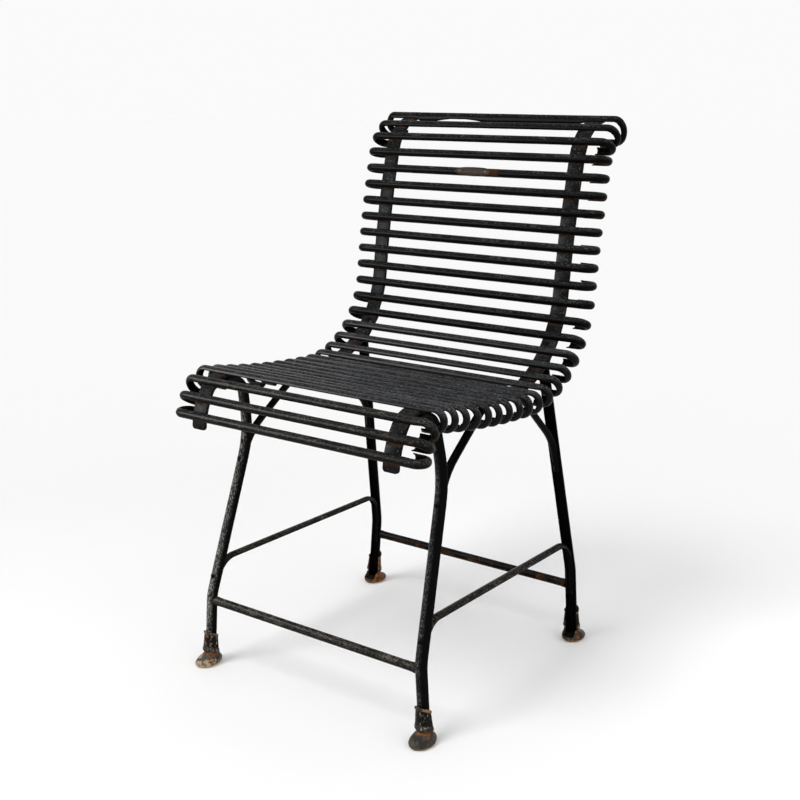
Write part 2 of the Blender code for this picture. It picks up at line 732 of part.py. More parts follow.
def plate_mesh():
    """Blank oval plate bent round the slat's crown."""
    inner = SLAT_RADIUS + GAP
    outer = inner + PLATE_THICKNESS
    rows, steps = 12, 6
    rings = []
    for i in range(rows + 1):
        angle = math.pi * (0.06 + 0.88 * i / rows)
        x = PLATE_SHIFT - PLATE_HALF_LENGTH * math.cos(angle)
        half = math.radians(PLATE_HALF_ANGLE) * math.sin(angle)
        arc = [-half + 2 * half * k / steps for k in range(steps + 1)]
        ring = [Vector((x, outer * math.sin(t), outer * math.cos(t))) for t in arc]
        ring += [Vector((x, inner * math.sin(t), inner * math.cos(t))) for t in reversed(arc)]
        rings.append(ring)
    plate = loft("oval_plate", rings)
    drill = turned("plate_drill", [(PLATE_RIVET_SHANK + HOLE_GAP, 0),
                                   (PLATE_RIVET_SHANK + HOLE_GAP, 2 * outer)], 6)
    places = [Matrix.Translation((PLATE_SHIFT + side * PLATE_RIVET_SPREAD, 0, 0)) for side in SIDES.values()]
    return combine(plate, [(drill, place) for place in places], "DIFFERENCE")


def plate_rivet_mesh():
    inside = SLAT_RADIUS - SLAT_WALL
    outside = SLAT_RADIUS + GAP + PLATE_THICKNESS + GAP
    return turned("plate_rivet", [(PLATE_RIVET_SHANK, inside - PLATE_RIVET_HEIGHT),
                                  (PLATE_RIVET_SHANK, outside),
                                  (PLATE_RIVET_HEAD, outside),
                                  (PLATE_RIVET_HEAD * RIVET_DOME, outside + PLATE_RIVET_HEIGHT)], 8)


def rivet_mesh(inner, outer, tail):
    """Rivet with a head and a tail, seated at two heights across a leg."""
    return turned("rivet", [(tail * RIVET_DOME, inner - RIVET_HEAD_HEIGHT),
                            (tail, inner),
                            (RIVET_SHANK, inner),
                            (RIVET_SHANK, outer),
                            (RIVET_HEAD_RADIUS, outer),
                            (RIVET_HEAD_RADIUS * RIVET_DOME, outer + RIVET_HEAD_HEIGHT)], 8)


def add_pair(name, make, material):
    for word, side in SIDES.items():
        add_object(f"{name}_{word}", make(side), material)


def build():
    for item in list(bpy.data.objects):
        bpy.data.objects.remove(item)
    paint = plain_material("worn_black_paint", (0.045, 0.043, 0.042), 0.45, 0.4)
    strap_paint = plain_material("strap_paint", (0.060, 0.055, 0.050), 0.55, 0.4)
    leg_paint = plain_material("leg_paint", (0.040, 0.040, 0.040), 0.42, 0.4)
    rusted = plain_material("rusted_paint", (0.110, 0.070, 0.045), 0.75, 0.2)
    cast = plain_material("weathered_cast_iron", (0.190, 0.160, 0.125), 0.70, 0.2)
    bare = plain_material("bare_plate", (0.330, 0.290, 0.260), 0.55, 0.6)
    add_slats(paint)
    add_pair("strap", strap_mesh, strap_paint)
    for word, front in (("front", True), ("rear", False)):
        add_pair(f"{word}_leg", lambda side, front=front: leg_mesh(side, front), leg_paint)
        add_pair(f"{word}_brace", lambda side, front=front: brace_mesh(side, front), leg_paint)
        add_pair(f"{word}_hoof", lambda side, front=front: hoof_mesh(side, front), cast)
        add_object(f"{word}_stretcher", cross_stretcher_mesh(front), paint if front else rusted)
        crown = LEG_RADIUS + GAP
        brace = rivet_mesh(brace_inset() - BAR_RADIUS - GAP, crown, RIVET_HEAD_RADIUS)
        seat = tail_seat(BAR_RADIUS, BAR_WALL, BAR_STEPS, RIVET_TAIL_RADIUS)
        nested = rivet_mesh(nest_inset() + seat, crown, RIVET_TAIL_RADIUS)
        for side_word, side in SIDES.items():
            rivet = add_object(f"brace_rivet_{word}_{side_word}", brace, rusted)
            rivet.matrix_world = across_leg(side, front, brace_rivet_height(front))
            rivet = add_object(f"side_rivet_{word}_{side_word}", nested, rusted)
            rivet.matrix_world = across_leg(side, front, stretcher_rivet_height(front))
    add_pair("side_stretcher", side_stretcher_mesh, paint)
    plate = add_object("oval_plate", plate_mesh(), bare)
    plate.matrix_world = slat_place(PLATE_SLAT)
    rivet = plate_rivet_mesh()
    for word, place in plate_rivet_places().items():
        add_object(f"plate_rivet_{word}", rivet, bare).matrix_world = place

    chair = bpy.data.objects.new("chair", None)
    bpy.context.scene.collection.objects.link(chair)
    for piece in bpy.context.scene.objects:
        if piece.type == "MESH":
            piece.parent = chair
    chair.location.y = -depth_centre()


build()
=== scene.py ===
"""Looks of a wrought-iron garden side chair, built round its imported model.

Every bar is drawn out along its own line as a half-round channel, hooked and riveted as the
smith left it, and finished in worn black paint with chips and rust. Metres, +Z up, facing -Y.
"""

import math
import random

import bmesh
import bpy
from bpy.props import FloatProperty, FloatVectorProperty, IntProperty, PointerProperty
from mathutils import Matrix, Vector


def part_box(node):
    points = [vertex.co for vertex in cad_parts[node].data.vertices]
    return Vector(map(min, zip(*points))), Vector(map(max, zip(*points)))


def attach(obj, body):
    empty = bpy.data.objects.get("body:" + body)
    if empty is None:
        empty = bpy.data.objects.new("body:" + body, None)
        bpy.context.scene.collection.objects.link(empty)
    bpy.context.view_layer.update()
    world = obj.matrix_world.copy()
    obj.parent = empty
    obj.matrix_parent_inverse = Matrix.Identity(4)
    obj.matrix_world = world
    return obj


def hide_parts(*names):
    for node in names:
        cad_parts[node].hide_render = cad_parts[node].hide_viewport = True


bl_info = {
    "name": "Wrought-iron garden chair",
    "version": (1, 0, 0),
    "blender": (4, 5, 0),
    "location": "3D View > Sidebar > Garden Chair",
    "description": "Models and finishes a hooked-slat garden side chair",
    "category": "Object",
}

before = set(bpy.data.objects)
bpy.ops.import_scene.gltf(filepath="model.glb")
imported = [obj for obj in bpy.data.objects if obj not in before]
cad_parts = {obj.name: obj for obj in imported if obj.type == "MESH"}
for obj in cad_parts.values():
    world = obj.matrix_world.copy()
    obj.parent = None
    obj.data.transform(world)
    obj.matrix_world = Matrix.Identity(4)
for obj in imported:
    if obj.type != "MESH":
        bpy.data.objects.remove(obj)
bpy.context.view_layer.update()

SIDES = {"left": -1, "right": 1}
ENDS = {"front": True, "rear": False}
GAP = 0.0003

# Slats, counted from the crest, and how the hooks of some lean, in degrees, and hang lower
SLAT_COUNT = 31
LAST_BACK_SLAT = 14
FIRST_FRONT_SLAT = 29
HOOK_LEANS = {28: -6, 29: -17, 30: -5, 31: 11}
RIGHT_HOOK_LEANS = HOOK_LEANS | {number: 4 for number in range(4, 13)}
HOOK_STRETCHES = {1: 1.28, 2: 1.15, 3: 1.08}
HOOK_CLEARANCE = 0.0035

# Rims lowered between the straps: from where on, and how far, but for a sliver of the crest slat
RIM_ENDS = 0.162, 0.152
CREST_RIM_DROP = 0.0042
CREST_SLIVER_PLACE = -0.075
CREST_SLIVER_ENDS = 0.050, 0.020
LOW_RIM_SLAT = 18
LOW_RIM_DROP = 0.0020

# The strap's line in the side view, from its lower end. A heading is in degrees, and each stretch
# is the radius of a bend or the length of a nearly straight run, with the heading at its end.
FRONT_FOOT_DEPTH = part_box("front_stretcher")[1].y
REAR_FOOT_DEPTH = FRONT_FOOT_DEPTH + 0.418
STRAP_START = Vector((FRONT_FOOT_DEPTH - 0.0418, 0.3968))
STRAP_HEADING = 86.7
STRAP_CENTRE = (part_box("strap_right")[0].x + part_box("strap_right")[1].x) / 2
LAST_SLAT_INSET = 0.0190
CREST_TAIL = 0.0100
DROP_BEND = 0.110, 52.8
FRONT_EDGE_BEND = 0.0417, -10.6
SEAT_RUN = 0.2257, -1.5
SEAT_TO_BACK_BEND = 0.148, 84.1
BACK_RUN = 0.2066, 76.0
SCROLL_RADIUS = 0.0721
TIP_RUNS = 0.0012, 0.003
TIP_WIDTHS = 0.66, 0.88

# Legs, braces and stretchers in the side view. A station is a place on the straps in slat
# numbers, a run leads up to it, and a land lies on past it under the strap. An inset sets a bar's
# line into the leg's round side, and leans and the braces' first values are headings.
LEG_SPLAY = 3.9
SOCKET_FLOOR = 0.009
FRONT_KNEE_HEIGHT = 0.116
REAR_KNEE_HEIGHT = 0.121
KNEE_BEND = 0.080
FRONT_FORK_HEIGHT = 0.365
FRONT_TOP_LEAN = 101.3
FRONT_FORK_BEND = 0.150
FRONT_TOP_BEND = 0.035
REAR_TOP_BEND = 0.022
FRONT_LEG_STATION = 27.5
REAR_LEG_STATION = 14.5
FRONT_LEG_RUN = 0.0303
REAR_LEG_RUN = 0.0330
FRONT_LEG_LAND = 0.008
REAR_LEG_LAND = 0.012
FRONT_BRACE = 36.0, 20.5
REAR_BRACE = 136.0, 19.5
BRACE_CORNER_RUN = 0.034
BRACE_FORK_BEND = 0.100
BRACE_TOP_BEND = 0.030
BRACE_LAND = 0.010
BRACE_TAIL = 0.020
SIDE_STRETCHER_HEIGHT = 0.169
SIDE_STRETCHER_BEND = 0.030
SIDE_STRETCHER_FRONT_END = 0.133
NEST_INSET = -0.0023
BRACE_INSET = 0.0029

# Radius and height of the domes on the bars
SLAT_TAIL = 0.0036, 0.0016
STUD_HEAD = 0.0042, 0.0020
RIVET_HEAD = 0.0036, 0.0020
RIVET_TAILS = {"brace_rivet": (0.0036, 0.0020), "side_rivet": (0.0026, 0.0020)}
RIVET_SHANK_RADIUS = 0.0018
RIVET_OVERLAP = 0.0002

# Oval plate
PLATE_SLAT = 5
PLATE_SHIFT = -0.004
PLATE_HALF_LENGTH = 0.0345
PLATE_HALF_CURL = 70
PLATE_THICKNESS = 0.0010
PLATE_RINGS = 0.95, 0.8, 0.6, 0.4, 0.2
PLATE_RUST_START = 0.0290
PLATE_STAIN_SHIFT = 0.0385
PLATE_RIVET_SHIFT = 0.0245
PLATE_RIVET = 0.0022, 0.0010

# Camera, fitted to the photograph
CAMERA_EYE = Vector((1.09975, -1.49284, 0.87817))
CAMERA_TARGET = Vector((0.0061, -0.01596, 0.4196))
CAMERA_ROLL = 0.24
CAMERA_LENS = 55.29
CAMERA_SENSOR = 36

# Lamps, as strength, width in degrees or metres, and the direction or place the light comes from
KEY_SUN = 1.3, 24, (-0.30, -0.90, 1.45)
FILL_SUN = 0.48, 40, (1.2, -0.2, 0.9)
SIDE_SOFTBOX = 30, 0.7, (-1.15, -1.20, 0.85)
SOFTBOX_TARGET = Vector((0, 0, 0.35))
SKY_LIGHT = 0.626
BACKDROP_TONE = 0.956

# The floor's tone close to a place before the chair, and far from it: a painted falloff of the
# light, paler near the camera and darker far off, where the floor meets the backdrop
FLOOR_PLACE = 0.4 * CAMERA_EYE.x, 0.4 * CAMERA_EYE.y, 0
FLOOR_FALLOFF_TONES = 0.99, 0.896
FLOOR_FALLOFF_SPAN = 0.8, 1.8

# Heights on a hoof between which each zone of its finish comes in or goes out
SOLE_OUT = 0.0046, 0.0018
GROOVE_IN = 0.0140, 0.0172
GROOVE_OUT = 0.0218, 0.0204
BEAD_IN = 0.0205, 0.0215
BEAD_OUT = 0.0285, 0.0272
CUFF_IN = 0.0272, 0.0290
RIM_IN = 0.0460, 0.0474

# Tones of the bare iron of the hooves, the plate's pits and its rivets
CREAM = 0.46, 0.37, 0.26
OLIVE = 0.062, 0.057, 0.043
TAN = 0.25, 0.17, 0.09
RIM_TAN = 0.22, 0.13, 0.065
PIT_TONE = 0.24, 0.20, 0.17
RIVET_METAL = 0.13, 0.12, 0.11


class ChairSizes(bpy.types.PropertyGroup):
    """Sections of the bars and the spacing of the slats."""

    slat_pitch: FloatProperty(name="Slat pitch", description="From slat to slat along the straps",
                              default=0.0275, min=0.015, unit="LENGTH", precision=4)
    slat_radius: FloatProperty(name="Slat radius", description="Outside of the half-round slat",
                               default=0.0067, min=0.003, unit="LENGTH", precision=4)
    slat_wall: FloatProperty(name="Slat wall", description="Thickness of the slat's channel",
                             default=0.0018, min=0.0008, unit="LENGTH", precision=4)
    hook_radius: FloatProperty(name="Hook radius", description="Outside of the bend in a hook",
                               default=0.0185, min=0.010, unit="LENGTH", precision=4)
    strap_width: FloatProperty(name="Strap width", description="Width of the flat straps",
                               default=0.026, min=0.010, unit="LENGTH", precision=4)
    strap_thickness: FloatProperty(name="Strap thickness", description="Thickness of the flat straps",
                                   default=0.005, min=0.002, unit="LENGTH", precision=4)
    leg_radius: FloatProperty(name="Leg radius", description="Outside of the half-round leg",
                              default=0.0098, min=0.005, unit="LENGTH", precision=4)
    leg_wall: FloatProperty(name="Leg wall", description="Thickness of the leg's channel",
                            default=0.0020, min=0.001, unit="LENGTH", precision=4)
    bar_radius: FloatProperty(name="Bar radius", description="Outside of braces and side stretchers",
                              default=0.0068, min=0.003, unit="LENGTH", precision=4)
    cross_radius: FloatProperty(name="Cross bar radius", description="Outside of the cross stretchers",
                                default=0.0072, min=0.003, unit="LENGTH", precision=4)
    bar_wall: FloatProperty(name="Bar wall", description="Thickness of the bars' channel",
                            default=0.0018, min=0.001, unit="LENGTH", precision=4)
    around: IntProperty(name="Facets round a bar", description="Steps round each half-round section",
                        default=12, min=6, max=32)


class ChairFinish(bpy.types.PropertyGroup):
    """Colours of the worn paint, the rust and the plate."""

    paint: FloatVectorProperty(name="Paint", description="Black paint where it is whole",
                               subtype="COLOR", default=(0.0016, 0.0016, 0.0017), min=0, max=1)
    faded: FloatVectorProperty(name="Faded paint", description="Paint gone grey on its upper side",
                               subtype="COLOR", default=(0.020, 0.020, 0.0205), min=0, max=1)
    fleck: FloatVectorProperty(name="Flecks", description="Small grey flecks in the paint",
                               subtype="COLOR", default=(0.080, 0.080, 0.078), min=0, max=1)
    chip: FloatVectorProperty(name="Chips", description="Beige undercoat in the chips",
                              subtype="COLOR", default=(0.120, 0.100, 0.066), min=0, max=1)
    rust: FloatVectorProperty(name="Rust", description="Brown rust on edges and undersides",
                              subtype="COLOR", default=(0.040, 0.019, 0.0095), min=0, max=1)
    ochre: FloatVectorProperty(name="Ochre rust", description="Bright rust where water stands",
                               subtype="COLOR", default=(0.24, 0.090, 0.024), min=0, max=1)
    plate: FloatVectorProperty(name="Plate", description="Dull metal of the oval plate",
                               subtype="COLOR", default=(0.052, 0.033, 0.026), min=0, max=1)


def sizes():
    return bpy.context.scene.garden_chair_sizes


def finish():
    return bpy.context.scene.garden_chair_finish


def share_of(value, start, end):
    """0 at the start, 1 at the end, and no further on either side."""
    return min(1.0, max(0.0, (value - start) / (end - start)))


# Lines in the side view, as (point, heading) with the heading in degrees from +Y towards +Z


def direction(angle):
    return Vector((math.cos(math.radians(angle)), math.sin(math.radians(angle))))


def left_of(angle):
    return direction(angle + 90)


def heading_of(start, end):
    return math.degrees(math.atan2(end.y - start.y, end.x - start.x))


def crossing(point, heading, other, other_heading):
    a, b = direction(heading), direction(other_heading)
    return point + a * ((other - point).cross(b) / a.cross(b))


def trace(point, heading, moves):
    """Path from a start, through moves of (length, turn in degrees, steps)."""
    path = [(point, heading)]
    for length, turn, steps in moves:
        small = math.radians(turn / steps)
        chord = length / steps
        if abs(small) > 1e-6:
            chord *= math.sin(small / 2) / (small / 2)
        for _ in range(steps):
            point = point + direction(heading + math.degrees(small) / 2) * chord
            heading += math.degrees(small)
            path.append((point, heading))
    return path


def filleted(corners, radii, step=7.0, run_step=0.03):
    """Path through corners with rounded bends."""
    path = []
    start = corners[0]
    for i in range(1, len(corners)):
        before = heading_of(corners[i - 1], corners[i])
        last = i == len(corners) - 1
        turn = 0 if last else (heading_of(corners[i], corners[i + 1]) - before + 180) % 360 - 180
        cut = 0 if last else radii[i - 1] * math.tan(math.radians(abs(turn) / 2))
        run = (corners[i] - start).length - cut
        moves = [(run, 0, max(1, round(run / run_step)))]
        if not last:
            moves.append((radii[i - 1] * math.radians(abs(turn)), turn, math.ceil(abs(turn) / step)))
        piece = trace(start, before, moves)
        path += piece if not path else piece[1:]
        start = path[-1][0]
    return path


def strap_runs():
    """Lengths and turns of the strap from its lower end to the crest slat."""
    heading = STRAP_HEADING
    runs = []
    for size, end in (DROP_BEND, FRONT_EDGE_BEND, SEAT_RUN, SEAT_TO_BACK_BEND, BACK_RUN):
        turn = end - heading
        straight = (size, end) in (SEAT_RUN, BACK_RUN)
        runs.append((size if straight else size * math.radians(abs(turn)), turn))
        heading = end
    rest = LAST_SLAT_INSET + sizes().slat_pitch * (SLAT_COUNT - 1) - sum(run[0] for run in runs)
    return runs + [(rest, -math.degrees(rest / SCROLL_RADIUS))]


def strap_station(distance):
    point, heading = STRAP_START, STRAP_HEADING
    for length, turn in strap_runs():
        share = share_of(distance, 0, length)
        if share > 0:
            point, heading = trace(point, heading, [(length * share, turn * share, 1)])[-1]
        distance -= length
        if distance <= 0:
            break
    return point, heading


def slat_station(number):
    return strap_station(LAST_SLAT_INSET + sizes().slat_pitch * (SLAT_COUNT - number))


def land_line(station):
    point, heading = slat_station(station)
    return point - left_of(heading) * (sizes().strap_thickness + GAP), heading


def foot_depth(front):
    return FRONT_FOOT_DEPTH if front else REAR_FOOT_DEPTH


def leg_line(front, inset=0.0):
    """Foot, knee and heading above the knee, moved into the leg's round side by an inset."""
    depth = foot_depth(front)
    height = FRONT_KNEE_HEIGHT if front else REAR_KNEE_HEIGHT
    bulge = 1 if front else -1
    lean = heading_of(Vector((depth, height)), leg_corners(front)[0])
    foot = Vector((depth - bulge * inset, SOCKET_FLOOR + GAP))
    upper = Vector((depth, height)) + left_of(lean) * bulge * inset
    return foot, crossing(foot, 90, upper, lean), lean


def leg_corners(front):
    """A leg's corners above its knee, up to its end under the strap."""
    station, run, end = ((FRONT_LEG_STATION, FRONT_LEG_RUN, FRONT_LEG_LAND) if front
                         else (REAR_LEG_STATION, REAR_LEG_RUN, REAR_LEG_LAND))
    land, heading = land_line(station)
    forward = direction(heading) * (-1 if front else 1)
    corners = [land - forward * run, land + forward * end]
    if front:
        corners.insert(0, crossing(corners[0], FRONT_TOP_LEAN, Vector((0, FRONT_FORK_HEIGHT)), 0))
    return corners


def leg_path(front):
    bends = [KNEE_BEND, FRONT_FORK_BEND, FRONT_TOP_BEND] if front else [KNEE_BEND, REAR_TOP_BEND]
    return filleted([*leg_line(front)[:2], *leg_corners(front)], bends)


def brace_path(front):
    angle, station = FRONT_BRACE if front else REAR_BRACE
    _, knee, lean = leg_line(front, BRACE_INSET)
    land, heading = land_line(station)
    forward = direction(heading) * (-1 if front else 1)
    corner = land + forward * BRACE_CORNER_RUN
    fork = crossing(knee, lean, corner, angle)
    cut = BRACE_FORK_BEND * math.tan(math.radians(abs(angle - lean) / 2))
    start = fork - direction(lean) * (cut + BRACE_TAIL)
    end = land - forward * BRACE_LAND
    return filleted([start, fork, corner, end], [BRACE_FORK_BEND, BRACE_TOP_BEND])


def side_stretcher_path():
    _, front_knee, front_lean = leg_line(True, NEST_INSET)
    _, rear_knee, rear_lean = leg_line(False, NEST_INSET)
    run = Vector((0, SIDE_STRETCHER_HEIGHT))
    corners = [crossing(front_knee, front_lean, Vector((0, SIDE_STRETCHER_FRONT_END)), 0),
               crossing(front_knee, front_lean, run, 0), crossing(rear_knee, rear_lean, run, 0),
               rear_knee, Vector((rear_knee.x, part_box("side_stretcher_left")[0].z))]
    return filleted(corners, [SIDE_STRETCHER_BEND, SIDE_STRETCHER_BEND, KNEE_BEND])


def splay_at(height):
    """How far a leg's plane stands from the chair's middle at a height."""
    drop = slat_station(FRONT_LEG_STATION)[0].y - height
    return STRAP_CENTRE + drop * math.tan(math.radians(LEG_SPLAY))


# Modelling helpers


def deselect():
    if bpy.context.object and bpy.context.object.mode != "OBJECT":
        bpy.ops.object.mode_set(mode="OBJECT")
    bpy.ops.object.select_all(action="DESELECT")


def activate(piece):
    deselect()
    piece.select_set(True)
    bpy.context.view_layer.objects.active = piece


def settle(piece):
    """Puts the object's place into its mesh."""
    activate(piece)
    bpy.ops.object.transform_apply(location=True, rotation=True, scale=True)


def choose(test):
    """Selects the vertices of the mesh in edit mode that pass a test of their place."""
    form = bmesh.from_edit_mesh(bpy.context.object.data)
    bpy.ops.mesh.select_all(action="DESELECT")
    bpy.ops.mesh.select_mode(type="VERT")
    for vertex in form.verts:
        vertex.select_set(test(vertex.co))
    form.select_flush(True)
    bmesh.update_edit_mesh(bpy.context.object.data)


def apply_modifier(piece, kind, **settings):
    activate(piece)
    change = piece.modifiers.new("change", kind)
    for key, value in settings.items():
        setattr(change, key, value)
    bpy.ops.object.modifier_apply(modifier=change.name)


def draw_out(path, growths=None):
    """Extrudes what is selected along a path in the side view, turning it as the path turns."""
    for i in range(1, len(path)):
        (here, heading), (there, next_heading) = path[i - 1], path[i]
        step = there - here
        bpy.ops.mesh.extrude_region_move(TRANSFORM_OT_translate={"value": (0, step.x, step.y)})
        turn = next_heading - heading
        centre = (0, there.x, there.y)
        if abs(turn) > 1e-4:
            bpy.ops.transform.rotate(value=-math.radians(turn), orient_axis="X",
                                     center_override=centre)
        if growths and growths[i] != growths[i - 1]:
            share = growths[i] / growths[i - 1]
            bpy.ops.transform.resize(value=(share, share, share), center_override=centre)


def draw_channel(name, path, radius, bulge, materials, growths=None):
    """Half-round channel along a side-view path, with its round side on the left (1) or right (-1).

    The face furthest out near the start shows whether the channel came out inside out.
    """
    point, heading = path[0]
    deselect()
    bpy.ops.mesh.primitive_circle_add(vertices=2 * sizes().around, radius=radius, fill_type="NOTHING",
                                      location=(0, point.x, point.y),
                                      rotation=(math.radians(heading - 90), 0, 0))
    piece = bpy.context.object
    piece.name = piece.data.name = name
    settle(piece)
    bpy.ops.object.mode_set(mode="EDIT")
    out = left_of(heading) * bulge
    choose(lambda co: (Vector((co.y, co.z)) - point).dot(out) < -1e-5)
    bpy.ops.mesh.delete(type="VERT")
    bpy.ops.mesh.select_all(action="SELECT")
    draw_out(path, growths)
    bpy.ops.object.mode_set(mode="OBJECT")
    crown = max(piece.data.polygons, key=lambda face: out.dot(Vector(face.center[1:]) - point)
                if (Vector(face.center[1:]) - point).length < 3 * radius else -1)
    if Vector(crown.normal[1:]).dot(out) < 0:
        bpy.ops.object.mode_set(mode="EDIT")
        bpy.ops.mesh.select_all(action="SELECT")
        bpy.ops.mesh.flip_normals()
        bpy.ops.object.mode_set(mode="OBJECT")
    for material in materials:
        piece.data.materials.append(material)
    return piece


def thicken(piece, wall, edge=0.0005):
    """Gives a channel its wall, with rounded rims. The hollow and the rims have their own finish."""
    apply_modifier(piece, "SOLIDIFY", thickness=wall, offset=-1, use_even_offset=True,
                   material_offset=1, material_offset_rim=2)
    apply_modifier(piece, "BEVEL", width=edge, segments=2, limit_method="ANGLE",
                   angle_limit=math.radians(50))
    smooth(piece)


def smooth(piece, angle=42):
    activate(piece)
    bpy.ops.object.shade_smooth_by_angle(angle=math.radians(angle))


def copy_of(piece, name):
    other = piece.copy()
    other.data = piece.data.copy()
    other.name = other.data.name = name
    bpy.context.scene.collection.objects.link(other)
    return other


def join(pieces):
    deselect()
    for piece in pieces:
        piece.select_set(True)
    bpy.context.view_layer.objects.active = pieces[0]
    bpy.ops.object.join()
    return pieces[0]


def hammered(piece, strength, grain, seed):
    """Uneven forged or cast surface."""
    clouds = bpy.data.textures.new(f"{piece.name}_clouds", "CLOUDS")
    clouds.noise_scale = grain
    clouds.noise_depth = 2
    holder = bpy.data.objects.new("hammer", None)
    bpy.context.scene.collection.objects.link(holder)
    holder.location = (seed * 0.37, seed * 0.61, seed * 0.23)
    bpy.context.view_layer.update()
    apply_modifier(piece, "DISPLACE", texture=clouds, strength=strength, mid_level=0.5,
                   texture_coords="OBJECT", texture_coords_object=holder)
    bpy.data.objects.remove(holder)


def splay(piece, side):
    """Leans a leg's plane outwards as it goes down."""
    for vertex in piece.data.vertices:
        vertex.co.x += side * splay_at(vertex.co.z)


def standing(point, normal):
    """Place of a piece that stands on a point, along a normal in the side view."""
    z = Vector((0, normal.x, normal.y)).normalized()
    x = Vector((1, 0, 0))
    return Matrix.Translation(point) @ Matrix((x, z.cross(x), z)).transposed().to_4x4()


def on_strap(number, x, lift=0.0):
    point, heading = slat_station(number)
    point = point + left_of(heading) * lift
    return standing(Vector((x, point.x, point.y)), left_of(heading))


def dome(name, place, size, material, sides=20):
    """Rivet head of a radius and height: a cylinder whose top edge is beveled round."""
    radius, height = size
    deselect()
    bpy.ops.mesh.primitive_cylinder_add(vertices=sides, radius=radius, depth=height,
                                        location=(0, 0, height / 2))
    piece = bpy.context.object
    piece.name = piece.data.name = name
    settle(piece)
    bpy.ops.object.mode_set(mode="EDIT")
    choose(lambda co: co.z > height * 0.9)
    bpy.ops.transform.resize(value=(0.86, 0.86, 1), center_override=(0, 0, height))
    bpy.ops.mesh.bevel(offset=height * 0.55, segments=4, profile=0.6, affect="EDGES")
    bpy.ops.object.mode_set(mode="OBJECT")
    piece.data.transform(place)
    piece.data.materials.append(material)
    smooth(piece, 50)
    return piece


def show(piece, node, body="root"):
    """Sets a finished piece in place of its node, riding on a body."""
    settle(piece)
    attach(piece, body)
    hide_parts(node)


# Finishes


class Nodes:
    """Shorthand for building one material's nodes."""

    def __init__(self, name):
        self.material = bpy.data.materials.new(name)
        self.material.use_nodes = True
        self.tree = self.material.node_tree
        self.shader = self.tree.nodes["Principled BSDF"]
        self.place = self.add("ShaderNodeTexCoord").outputs["Object"]

    def add(self, kind, **settings):
        node = self.tree.nodes.new(kind)
        for key, value in settings.items():
            setattr(node, key, value)
        return node

    def feed(self, socket, value):
        if isinstance(value, bpy.types.NodeSocket):
            self.tree.links.new(value, socket)
        else:
            socket.default_value = value

    def stretched(self, scale):
        mapping = self.add("ShaderNodeMapping")
        self.feed(mapping.inputs["Vector"], self.place)
        mapping.inputs["Scale"].default_value = scale
        return mapping.outputs["Vector"]

    def noise(self, scale, detail=3.0, roughness=0.55, vector=None):
        node = self.add("ShaderNodeTexNoise")
        self.feed(node.inputs["Vector"], vector or self.place)
        node.inputs["Scale"].default_value = scale
        node.inputs["Detail"].default_value = detail
        node.inputs["Roughness"].default_value = roughness
        return node.outputs["Fac"]

    def attribute(self, name):
        return self.add("ShaderNodeAttribute", attribute_name=name).outputs["Fac"]

    def across(self, middle):
        """Distance across the chair from a place on its width."""
        split = self.add("ShaderNodeSeparateXYZ")
        self.feed(split.inputs["Vector"], self.place)
        return self.math("ABSOLUTE", self.math("SUBTRACT", split.outputs["X"], middle))

    def between(self, value, low, high, ends=(0.0, 1.0), curve="SMOOTHSTEP"):
        """The first end below low, the second above high, and a curve between them."""
        node = self.add("ShaderNodeMapRange", interpolation_type=curve)
        self.feed(node.inputs["Value"], value)
        node.inputs["From Min"].default_value = low
        node.inputs["From Max"].default_value = high
        node.inputs["To Min"].default_value, node.inputs["To Max"].default_value = ends
        return node.outputs["Result"]

    def math(self, operation, a, b=0.0):
        node = self.add("ShaderNodeMath", operation=operation)
        self.feed(node.inputs[0], a)
        self.feed(node.inputs[1], b)
        return node.outputs["Value"]

    def plus(self, a, b):
        return self.math("ADD", a, b)

    def times(self, first, *others):
        for other in others:
            first = self.math("MULTIPLY", first, other)
        return first

    def uneven(self, noise, amount):
        """A noise made to swing by an amount about 0."""
        return self.times(self.math("SUBTRACT", noise, 0.5), amount)

    def mix(self, share, a, b):
        node = self.add("ShaderNodeMix", data_type="RGBA")
        self.feed(node.inputs["Factor"], share)
        self.feed(node.inputs["A"], a if isinstance(a, bpy.types.NodeSocket) else (*a, 1))
        self.feed(node.inputs["B"], b if isinstance(b, bpy.types.NodeSocket) else (*b, 1))
        return node.outputs["Result"]

    def facing(self, toward=(0, 0, 1)):
        """How far the surface faces a direction: 1 squarely, -1 away; by default upwards."""
        geometry = self.add("ShaderNodeNewGeometry")
        product = self.add("ShaderNodeVectorMath", operation="DOT_PRODUCT")
        self.feed(product.inputs[0], geometry.outputs["Normal"])
        product.inputs[1].default_value = Vector(toward).normalized()
        return product.outputs["Value"]

    def bump(self, height, strength, distance):
        node = self.add("ShaderNodeBump")
        node.inputs["Strength"].default_value = strength
        node.inputs["Distance"].default_value = distance
        self.feed(node.inputs["Height"], height)
        self.feed(self.shader.inputs["Normal"], node.outputs["Normal"])

    def surface(self, colour, roughness, gloss):
        """Gives the shader its colour and shine, and hands back the material."""
        inputs = self.shader.inputs
        self.feed(inputs["Base Color"], colour)
        self.feed(inputs["Roughness"], roughness)
        self.feed(inputs["Specular IOR Level"], gloss)
        return self.material


def toned(colour, share):
    return [share * part for part in colour]


